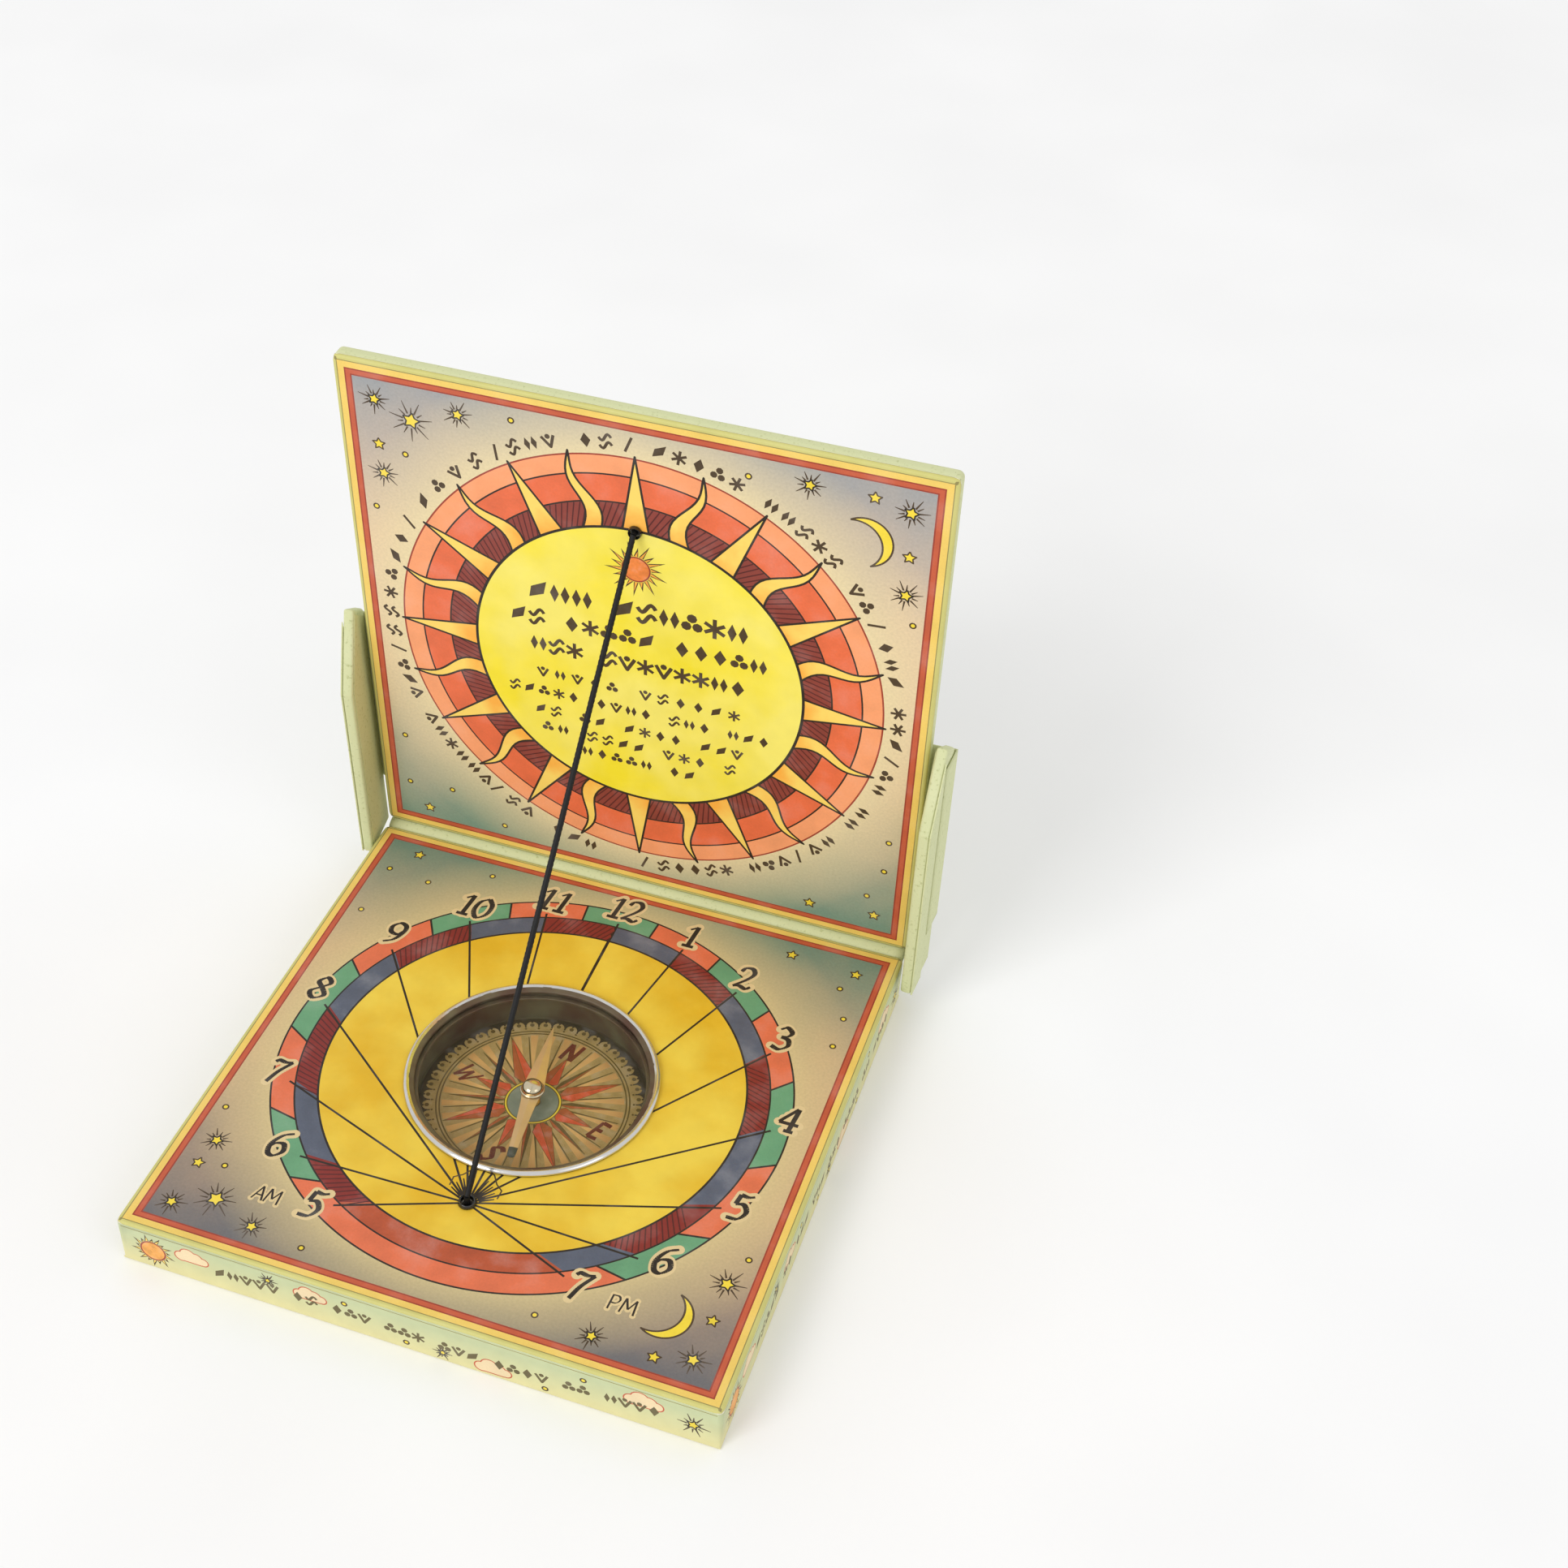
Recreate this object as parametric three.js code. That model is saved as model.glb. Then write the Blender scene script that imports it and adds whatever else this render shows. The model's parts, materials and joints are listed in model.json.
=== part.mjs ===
// A square cardboard pocket sundial. A shallow box holds a compass under its printed dial, a board
// lid stands up behind it on a paper hinge, and a taut cord from the dial to the lid is the gnomon.
// Two short side flaps hang on the lid's side edges and cover the box's sides when it is shut.
//
// Millimetres. The origin is the centre of the underside, +Z is up, +Y points to the hinge and +X to
// the right of someone who reads the dial. The lid stands open, as far as its cord lets it.

import * as THREE from 'three';

// Driving dimensions
const PANEL = 89; // side of the square box and of the lid
const BOX_HEIGHT = 8.4;
const PAPER = 0.3;
const BOARD = 1.9;
const GLUE = 0.1; // gap between glued layers
const CLOSED_GAP = 2.4; // between the dial and the lid's inside when the lid is shut
const HINGE_UP = 0.95; // hinge line above the dial
const HINGE_IN = 0.35; // hinge line in front of the box's back face
const LID_LEAN = 3.3; // degrees, forward over the dial
const FOOT_Y = -24.4; // where the cord leaves the dial
const LID_HOLE_UP = 25.4; // cord hole above the lid's middle
const CORD_RADIUS = 0.45;
const EYELET = { bore: 0.8, footRadius: 1.4, lidRadius: 1.05, height: 0.6 };
const KNOT = { radius: 1.2, height: 0.9 };
const COMPASS = { x: -0.4, y: 0.6, radius: 18.6, wall: 0.8, cardRadius: 17.2, cardTop: 3.0 };
const RIM = { inner: 17.4, outer: 19.1, height: 0.9 };
const NEEDLE = { length: 26.4, width: 3.2, thickness: 0.3, z: 5.5, heading: 8, hub: 1.9 };
const FLAP = { depth: 9.4, thickness: 2.1, bottom: -3.3, backTop: 41, peak: 44.2, frontTop: 31 };
const FLAP_PEAK = 4.6; // depth of the flap's highest point
const FLAP_HINGE = { x: 48, behind: 0.5, relief: 0.7, strip: 5, overlap: 5 };
const TOE_IN = { left: 6.5, right: 4 }; // degrees that each flap turns in from square

// Sizes that follow
const WRAP_INSIDE = PANEL - 2 * PAPER;
const CORE = WRAP_INSIDE - 2 * GLUE; // side of the boards inside the wrapping paper
const PRINT_Z = BOX_HEIGHT - PAPER;
const DIAL_BOARD_Z = PRINT_Z - GLUE - BOARD;
const FLOOR_Z = PAPER + GLUE;
const FLOOR = 1.4;
const WALL_Z = FLOOR_Z + FLOOR + GLUE;
const WALL_HEIGHT = DIAL_BOARD_Z - GLUE - WALL_Z;
const HINGE_Y = PANEL / 2 - HINGE_IN;
const HINGE_Z = BOX_HEIGHT + HINGE_UP;
const LID_INSIDE = CLOSED_GAP - HINGE_UP; // lid's inner face behind the hinge line
const LID_BACK = LID_INSIDE + 2 * PAPER + 2 * GLUE + BOARD;
const LID_MIDDLE = PANEL / 2 - HINGE_IN; // above the hinge line, along the lid
const HINGE_PAPER = 0.2;
const SPINE_ON_LID = 6; // how far the spine paper runs up the lid's back
const CLEAR = 0.3;
const ROUND = 72; // facets round the compass
const SMALL_ROUND = 24;

const radians = THREE.MathUtils.degToRad;

// Materials
const surface = (color, roughness, metalness = 0) =>
  new THREE.MeshStandardMaterial({ color, roughness, metalness });
const greyBoard = surface(0x9c968a, 0.95);
const greenPaper = surface(0xd2dcb4, 0.7);
const dialPaper = surface(0xe9c234, 0.55);
const lidPaper = surface(0xe8764a, 0.55);
const sidePaper = surface(0xdfe0ae, 0.6);
const whitePaper = surface(0xe9e4d6, 0.85);
const fillerBoard = surface(0xd8cfb8, 0.95);
const darkBrass = surface(0x4d4029, 0.55, 0.4);
const chrome = surface(0xd8d8d8, 0.15, 1);
const brass = surface(0xc9a24a, 0.3, 1);
const agedCard = surface(0xc9ad78, 0.8);
const steel = surface(0xcabfae, 0.35, 0.8);
const blackCord = surface(0x1a1a1a, 0.6);
const blackEnamel = surface(0x101010, 0.3, 0.3);
const glass = new THREE.MeshStandardMaterial({
  color: 0xf2f7f5, roughness: 0.05, transparent: true, opacity: 0.25,
});

const sundial = new THREE.Group();
const lid = new THREE.Group();
lid.position.set(0, HINGE_Y, HINGE_Z);
lid.rotation.x = radians(LID_LEAN);
sundial.add(lid);

function piece(name, geometry, material, parent = sundial) {
  const mesh = new THREE.Mesh(geometry, material);
  mesh.name = name;
  parent.add(mesh);
  return mesh;
}

// Outlines in the XY plane

const outline = (points) => new THREE.Shape(points.map(([x, y]) => new THREE.Vector2(x, y)));

function square(side) {
  const half = side / 2;
  return outline([[-half, -half], [half, -half], [half, half], [-half, half]]);
}

const squareHole = (side) => new THREE.Path(square(side).getPoints());
const roundHole = (x, y, radius) => new THREE.Path().absarc(x, y, radius, 0, 2 * Math.PI);

// The section of a paper strip that follows a bent line.
function ribbon(line, thickness) {
  const side = (offset) => line.map((point, i) => {
    const before = line[Math.max(i - 1, 0)];
    const after = line[Math.min(i + 1, line.length - 1)];
    const along = new THREE.Vector2(after[0] - before[0], after[1] - before[1]).normalize();
    return [point[0] - along.y * offset, point[1] + along.x * offset];
  });
  return outline([...side(-thickness / 2), ...side(thickness / 2).reverse()]);
}

// Solids

// A flat board with holes, from z = bottom up.
function slab(shape, holes, bottom, thickness, facets = ROUND / 2) {
  shape.holes.push(...holes);
  const options = { depth: thickness, bevelEnabled: false, curveSegments: facets };
  return new THREE.ExtrudeGeometry(shape, options).translate(0, 0, bottom);
}

// A section drawn in the YZ plane, run along X from x = start.
function alongX(shape, start, length) {
  const section = new THREE.ExtrudeGeometry(shape, { depth: length, bevelEnabled: false });
  const [x, y, z] = [[1, 0, 0], [0, 1, 0], [0, 0, 1]].map((axis) => new THREE.Vector3(...axis));
  return section.applyMatrix4(new THREE.Matrix4().makeBasis(y, z, x)).translate(start, 0, 0);
}

// A solid of revolution about Z from [radius, z] points.
function turned(profile, facets) {
  const points = profile.map(([radius, z]) => new THREE.Vector2(radius, z));
  return new THREE.LatheGeometry(points, facets).rotateX(Math.PI / 2);
}

const closed = (profile) => [...profile, profile[0]];

function disc(radius, bottom, thickness) {
  const cylinder = new THREE.CylinderGeometry(radius, radius, thickness, ROUND);
  return cylinder.rotateX(Math.PI / 2).translate(0, 0, bottom + thickness / 2);
}

function eyeletRing(outer) {
  const { bore, height } = EYELET;
  return turned(closed([
    [bore, 0], [outer, 0], [outer, height * 0.4], [outer - 0.1, height], [bore + 0.1, height],
  ]), SMALL_ROUND);
}

const knotDome = () => turned([
  [0, 0], [KNOT.radius, 0], [KNOT.radius, KNOT.height * 0.5], [KNOT.radius * 0.6, KNOT.height],
  [0, KNOT.height],
], SMALL_ROUND);

// The box

function addBox() {
  const compassHole = () => roundHole(COMPASS.x, COMPASS.y, COMPASS.radius + CLEAR);
  const cordHole = (radius = EYELET.bore) => roundHole(0, FOOT_Y, radius);
  piece('bottom_sheet', slab(square(WRAP_INSIDE), [], 0, PAPER), whitePaper);
  piece('floor_board', slab(square(CORE), [], FLOOR_Z, FLOOR), greyBoard);
  const room = CORE - 2 * BOARD;
  const frame = slab(square(CORE), [squareHole(room)], WALL_Z, WALL_HEIGHT);
  piece('wall_frame', frame, greyBoard);
  const pockets = [compassHole(), cordHole(KNOT.radius + CLEAR)];
  const block = slab(square(room - 2 * CLEAR), pockets, WALL_Z, WALL_HEIGHT);
  piece('filler_block', block, fillerBoard);
  const board = slab(square(CORE), [compassHole(), cordHole()], DIAL_BOARD_Z, BOARD);
  piece('dial_board', board, greyBoard);
  const print = slab(square(PANEL), [compassHole(), cordHole()], PRINT_Z, PAPER);
  piece('dial_print', print, dialPaper);
  const wrap = slab(square(PANEL), [squareHole(WRAP_INSIDE)], 0, PRINT_Z - GLUE);
  piece('side_wrap', wrap, sidePaper);
}

// The compass, built round its own centre line

function addCompass() {
  const compass = new THREE.Group();
  compass.position.set(COMPASS.x, COMPASS.y, 0);
  sundial.add(compass);

  const inside = COMPASS.radius - COMPASS.wall;
  const caseTop = PRINT_Z + PAPER / 2;
  const cardBottom = COMPASS.cardTop - PAPER;
  const cup = turned([
    [0, WALL_Z], [COMPASS.radius, WALL_Z], [COMPASS.radius, caseTop], [inside, caseTop],
    [inside, cardBottom - GLUE], [0, cardBottom - GLUE],
  ], ROUND);
  piece('compass_case', cup, darkBrass, compass);
  piece('compass_card', disc(COMPASS.cardRadius, cardBottom, PAPER), agedCard, compass);

  const ringTop = PRINT_Z - PAPER;
  const ring = turned(closed([
    [inside - 0.9, ringTop - 0.5], [inside - GLUE, ringTop - 0.5], [inside - GLUE, ringTop],
    [inside - 0.9, ringTop],
  ]), ROUND);
  piece('glass_ring', ring, brass, compass);
  piece('compass_glass', disc(inside - GLUE, ringTop + GLUE, 0.5), glass, compass);

  const rimBottom = BOX_HEIGHT + GLUE;
  const rimTop = rimBottom + RIM.height - GLUE;
  const rim = turned(closed([
    [RIM.inner, rimBottom], [RIM.outer - 0.1, rimBottom], [RIM.outer, rimBottom + 0.2],
    [RIM.outer - 0.2, rimTop - 0.15], [RIM.outer - 0.55, rimTop], [RIM.outer - 0.9, rimTop - 0.15],
    [RIM.inner + 0.1, rimBottom + 0.2],
  ]), ROUND);
  piece('compass_rim', rim, chrome, compass);

  const pinFoot = COMPASS.cardTop + GLUE;
  const pin = turned([
    [0, pinFoot], [1.1, pinFoot], [1.1, pinFoot + 0.3], [0.45, pinFoot + 0.5],
    [0.4, NEEDLE.z - 0.5], [0, NEEDLE.z + 0.3],
  ], SMALL_ROUND);
  piece('pivot_pin', pin, brass, compass);
  addNeedle(compass);
}

function addNeedle(compass) {
  const needle = new THREE.Group();
  needle.position.z = NEEDLE.z;
  needle.rotation.z = radians(NEEDLE.heading);
  compass.add(needle);
  const tip = NEEDLE.length / 2;
  const half = NEEDLE.width / 2;
  const blade = outline([
    [0, -tip], [half, -half], [half, half], [0, tip], [-half, half], [-half, -half],
  ]);
  const bore = 0.9;
  const bladeSlab = slab(blade, [roundHole(0, 0, bore)], 0, NEEDLE.thickness, SMALL_ROUND / 2);
  piece('compass_needle', bladeSlab, steel, needle);
  const sleeve = bore - 0.05;
  const seat = NEEDLE.thickness + 0.05;
  const hub = turned([
    [0, 0.45], [0.55, -0.35], [sleeve, -0.35], [sleeve, seat], [NEEDLE.hub, seat],
    [NEEDLE.hub * 0.9, seat + 0.7], [NEEDLE.hub * 0.55, seat + 1.3], [0, seat + 1.6],
  ], SMALL_ROUND);
  piece('needle_hub', hub, brass, needle);
}

// The lid, drawn in its own frame: the hinge line is its X axis and Z runs up the lid

// A sheet drawn round the lid's middle as it is seen from the dial.
function lidSheet(shape, holes, front, thickness) {
  return slab(shape, holes, 0, thickness).rotateX(Math.PI / 2)
    .translate(0, front + thickness, LID_MIDDLE);
}

function addLid() {
  const cordHole = () => roundHole(0, LID_HOLE_UP, EYELET.bore);
  const boardFront = LID_INSIDE + PAPER + GLUE;
  piece('lid_print', lidSheet(square(PANEL), [cordHole()], LID_INSIDE, PAPER), lidPaper, lid);
  piece('lid_board', lidSheet(square(CORE), [cordHole()], boardFront, BOARD), greyBoard, lid);
  const wrap = lidSheet(square(PANEL), [squareHole(WRAP_INSIDE)], boardFront, BOARD);
  piece('lid_edge_wrap', wrap, greenPaper, lid);
  const cover = lidSheet(square(PANEL), [cordHole()], LID_BACK - PAPER, PAPER);
  piece('lid_cover', cover, greenPaper, lid);
}

// The height of a flap's top edge, which rises from the hinge to a peak and falls to the front.
function flapTop(depth) {
  if (depth < FLAP_PEAK) {
    return THREE.MathUtils.mapLinear(depth, 0, FLAP_PEAK, FLAP.backTop, FLAP.peak);
  }
  return THREE.MathUtils.mapLinear(depth, FLAP_PEAK, FLAP.depth, FLAP.peak, FLAP.frontTop);
}

// A flap on the lid's left (side = -1) or right (side = 1) edge. Its own frame stands on its
// hinge line, with its outer face at x = 0 and its depth towards -Y.
function addFlap(name, side, toeIn) {
  const flap = new THREE.Group();
  flap.position.set(side * FLAP_HINGE.x, LID_BACK + FLAP_HINGE.behind, 0);
  flap.rotation.z = radians(-side * toeIn);
  lid.add(flap);

  const face = (back) => outline([
    [-FLAP.depth, FLAP.bottom], [-back, FLAP.bottom], [-back, flapTop(back)],
    ...(back < FLAP_PEAK ? [[-FLAP_PEAK, FLAP.peak]] : []), [-FLAP.depth, FLAP.frontTop],
  ]);
  // A layer between two distances in from the outer face.
  const layer = (back, from, to) => alongX(face(back), side > 0 ? -to : from, to - from);
  const board = layer(FLAP_HINGE.relief, PAPER + GLUE, FLAP.thickness);
  piece(`${name}_flap_board`, board, greyBoard, flap);
  piece(`${name}_flap_cover`, layer(FLAP_HINGE.strip + CLEAR, 0, PAPER), greenPaper, flap);

  // The paper hinge lies on the lid's back, turns the hinge line and lies on the flap.
  const turn = radians(toeIn);
  const onFlap = (depth, inset) => [
    side * (FLAP_HINGE.x - inset * Math.cos(turn) - depth * Math.sin(turn)),
    LID_BACK + FLAP_HINGE.behind + inset * Math.sin(turn) - depth * Math.cos(turn),
  ];
  const lidEdge = side * PANEL / 2;
  const onLid = LID_BACK + GLUE + HINGE_PAPER / 2;
  const line = [
    [lidEdge - side * FLAP_HINGE.overlap, onLid], [lidEdge, onLid], onFlap(0, HINGE_PAPER),
    onFlap(0.4, HINGE_PAPER / 2), onFlap(FLAP_HINGE.strip, HINGE_PAPER / 2),
  ];
  const section = ribbon(side > 0 ? line : line.reverse(), HINGE_PAPER);
  const bottom = SPINE_ON_LID + CLEAR;
  const strip = slab(section, [], bottom, FLAP.backTop - CLEAR - bottom);
  piece(`${name}_flap_hinge`, strip, greenPaper, lid);
}

// The paper hinge between box and lid: an inner strip in the seam, and a spine behind it

function addHinge() {
  lid.updateMatrixWorld();
  const onLid = (back, up) => {
    const point = new THREE.Vector3(0, back, up).applyMatrix4(lid.matrixWorld);
    return [point.y, point.z];
  };
  const boxBack = PANEL / 2 + GLUE + HINGE_PAPER / 2;
  const seam = [
    [boxBack, BOX_HEIGHT - 1], [boxBack, BOX_HEIGHT - 0.35], onLid(LID_INSIDE - 0.3, -0.85),
    onLid(LID_INSIDE + 0.5, -HINGE_IN - 0.25),
  ];
  piece('inner_hinge_strip', alongX(ribbon(seam, HINGE_PAPER), -CORE / 2, CORE), greenPaper);
  const lidBack = LID_BACK + GLUE + HINGE_PAPER / 2;
  const leave = BOX_HEIGHT - 2.5;
  const spine = [
    [boxBack, PAPER], [boxBack, leave], [boxBack + 0.25, leave + 0.6], [boxBack + 0.9, leave + 1],
    [boxBack + 2.1, leave + 0.8], [boxBack + 3.2, leave + 1], onLid(lidBack, -1.6),
    onLid(lidBack, 0), onLid(lidBack, SPINE_ON_LID),
  ];
  const spineWidth = PANEL - 2 * CLEAR;
  const spineStrip = alongX(ribbon(spine, HINGE_PAPER), -spineWidth / 2, spineWidth);
  piece('spine_strip', spineStrip, greenPaper);
}

// The cord, its eyelets and its end knots

function addCord() {
  const footEyelet = eyeletRing(EYELET.footRadius).translate(0, FOOT_Y, BOX_HEIGHT + GLUE);
  piece('foot_eyelet', footEyelet, blackEnamel);
  const footKnot = knotDome().translate(0, FOOT_Y, DIAL_BOARD_Z - GLUE - KNOT.height);
  piece('foot_knot', footKnot, blackCord);
  const hole = LID_MIDDLE + LID_HOLE_UP;
  const lidEyelet = eyeletRing(EYELET.lidRadius).rotateX(Math.PI / 2)
    .translate(0, LID_INSIDE - GLUE, hole);
  piece('lid_eyelet', lidEyelet, blackEnamel, lid);
  const lidKnot = knotDome().rotateX(-Math.PI / 2).translate(0, LID_BACK + GLUE, hole);
  piece('lid_knot', lidKnot, blackCord, lid);

  const proud = EYELET.height + GLUE + CLEAR;
  const start = new THREE.Vector3(0, FOOT_Y, BOX_HEIGHT + proud + CORD_RADIUS);
  const end = new THREE.Vector3(0, LID_INSIDE - proud, hole).applyMatrix4(lid.matrixWorld);
  const section = new THREE.Shape().absarc(0, 0, CORD_RADIUS, 0, 2 * Math.PI);
  const path = new THREE.LineCurve3(start, end);
  const steps = Math.round(path.getLength() / (6 * CORD_RADIUS));
  const tube = new THREE.ExtrudeGeometry(section, { steps, extrudePath: path, curveSegments: 4 });
  piece('gnomon_cord', tube, blackCord);
}

addBox();
addCompass();
addLid();
addFlap('left', -1, TOE_IN.left);
addFlap('right', 1, TOE_IN.right);
addHinge();
addCord();

export default sundial;
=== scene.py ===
"""A cardboard pocket sundial: printed papers, wrapped boards, paper hinges, compass and cord.

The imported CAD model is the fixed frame. Shapes are drawn here in millimetres, in the flat frame of
the sheet or the part they belong to, and each object's matrix puts them in place in metres.
"""

import json
import math
import random

import bmesh
import bpy
import numpy as np
from mathutils import Matrix, Vector
from mathutils.geometry import delaunay_2d_cdt


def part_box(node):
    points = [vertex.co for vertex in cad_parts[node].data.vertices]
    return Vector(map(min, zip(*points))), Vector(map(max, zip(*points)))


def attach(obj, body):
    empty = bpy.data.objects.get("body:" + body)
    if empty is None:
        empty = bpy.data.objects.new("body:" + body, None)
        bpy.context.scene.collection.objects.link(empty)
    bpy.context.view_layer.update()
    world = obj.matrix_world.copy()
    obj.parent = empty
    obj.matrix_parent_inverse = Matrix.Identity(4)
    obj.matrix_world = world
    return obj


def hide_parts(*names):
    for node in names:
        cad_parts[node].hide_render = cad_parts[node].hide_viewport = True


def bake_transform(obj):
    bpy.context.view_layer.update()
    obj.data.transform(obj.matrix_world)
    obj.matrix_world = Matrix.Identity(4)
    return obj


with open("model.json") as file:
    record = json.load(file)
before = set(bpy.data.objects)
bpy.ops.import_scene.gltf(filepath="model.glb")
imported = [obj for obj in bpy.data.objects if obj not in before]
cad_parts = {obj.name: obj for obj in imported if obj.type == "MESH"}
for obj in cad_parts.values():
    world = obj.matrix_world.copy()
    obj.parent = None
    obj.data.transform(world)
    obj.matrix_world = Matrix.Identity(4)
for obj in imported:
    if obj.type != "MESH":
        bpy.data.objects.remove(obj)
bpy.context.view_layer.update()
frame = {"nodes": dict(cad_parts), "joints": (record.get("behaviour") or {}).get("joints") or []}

MM = 0.001
NODES = frame["nodes"]
JOINTS = {joint["name"]: joint for joint in frame["joints"]}


# The frame's own places and sizes

def local_box(node, matrix):
    """A node's lowest and highest corners in a turned frame, in millimetres."""
    turned = matrix.inverted()
    points = [turned @ v.co / MM for v in NODES[node].data.vertices]
    low = Vector([min(p[k] for p in points) for k in range(3)])
    high = Vector([max(p[k] for p in points) for k in range(3)])
    return low, high


def lid_matrix():
    """The hinge line is X and Z runs up the lid, which leans over the dial."""
    up = Vector(JOINTS["right_flap_fold"]["axis"])
    lean = math.atan2(-up.y, up.z)
    hinge = Vector(JOINTS["lid_fold"]["pos_m"])
    return Matrix.Translation(hinge) @ Matrix.Rotation(lean, 4, "X")


def flap_name(side):
    return "left_flap" if side < 0 else "right_flap"


def flap_matrix(side):
    """Y is a flap's depth, Z runs up it and X points out of its outer face."""
    flap = flap_name(side)
    faces = NODES[f"{flap}_cover"].data.polygons
    biggest = max(faces, key=lambda face: face.area * (face.normal.x * side > 0))
    outward = biggest.normal.normalized()
    up = Vector(JOINTS["right_flap_fold"]["axis"])
    depth = up.cross(outward) * side
    place = Matrix((outward, depth, up)).transposed().to_4x4()
    return Matrix.Translation(Vector(JOINTS[f"{flap}_fold"]["pos_m"])) @ place


IDENTITY = Matrix.Identity(4)
LID = lid_matrix()
DIAL_LOW, DIAL_HIGH = local_box("dial_print", IDENTITY)
BAND_LOW, BAND_HIGH = local_box("side_wrap", IDENTITY)
LID_FRONT = local_box("lid_print", LID)[0].y
LID_BACK = local_box("lid_cover", LID)[1].y
LID_MIDDLE = sum(corner.z for corner in local_box("lid_print", LID)) / 2
HALF = DIAL_HIGH.x
DIAL_TOP = DIAL_HIGH.z
PAPER = DIAL_HIGH.z - DIAL_LOW.z
FOOT = sum(local_box("foot_eyelet", IDENTITY), Vector()) / 2
LID_HOLE = sum(local_box("lid_eyelet", LID), Vector()) / 2
HOLE_UP = LID_HOLE.z - LID_MIDDLE
COMPASS = sum(local_box("compass_case", IDENTITY), Vector()) / 2
CASE_RADIUS = (local_box("compass_case", IDENTITY)[1] - COMPASS).x
EYELET_RADIUS = (local_box("foot_eyelet", IDENTITY)[1] - FOOT).x
EYELET_BORE = 0.8
CORD_RADIUS = 0.45
CORD_LAY = 2.2  # length of one turn of its plies
GLUE = 0.1  # gap between glued layers
HINGE_PAPER = 0.2  # thickness of the paper hinges


def lid_place(x, back, up):
    """A place on the lid, with Y up the lid and Z out of its print towards the dial."""
    return LID @ Matrix.Translation(Vector((x, back, up)) * MM) @ Matrix.Rotation(math.pi / 2, 4, "X")


# A sheet's own frame: X to the right, Y up the print and Z out of it
DIAL_SHEET = Matrix.Translation((0, 0, DIAL_TOP * MM))
LID_SHEET = lid_place(0, LID_FRONT, LID_MIDDLE)


# Camera

def make_camera():
    """Looks down on the dial from its front left, with the framing shifted off the centre."""
    azimuth, elevation, roll = math.radians(19.93), math.radians(42.96), math.radians(0.65)
    back = Vector((math.sin(azimuth) * math.cos(elevation),
                   -math.cos(azimuth) * math.cos(elevation), math.sin(elevation)))
    turn = back.to_track_quat("Z", "Y").to_matrix().to_4x4()
    camera = bpy.data.objects.new("camera", bpy.data.cameras.new("camera"))
    camera.matrix_world = (Matrix.Translation((0.0873, -0.2005, 0.2512)) @ turn
                           @ Matrix.Rotation(roll, 4, "Z"))
    camera.data.lens = 50.56
    camera.data.sensor_width = 36
    camera.data.shift_x = 0.0993
    camera.data.shift_y = 0.0653
    camera.data.clip_start = 0.01
    bpy.context.scene.collection.objects.link(camera)
    bpy.context.scene.camera = camera


# Colours and materials

def rgb(red, green, blue):
    """A linear colour from its screen values, 0 to 255."""
    screen = (red / 255, green / 255, blue / 255)
    linear = [((c + 0.055) / 1.055) ** 2.4 if c > 0.04 else c / 12.92 for c in screen]
    return (*linear, 1)


def shade(colour, share):
    """The colour darkened (share below 1) or lightened (above 1)."""
    if share <= 1:
        return (*[c * share for c in colour[:3]], 1)
    return (*[c + (1 - c) * (share - 1) for c in colour[:3]], 1)


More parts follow.
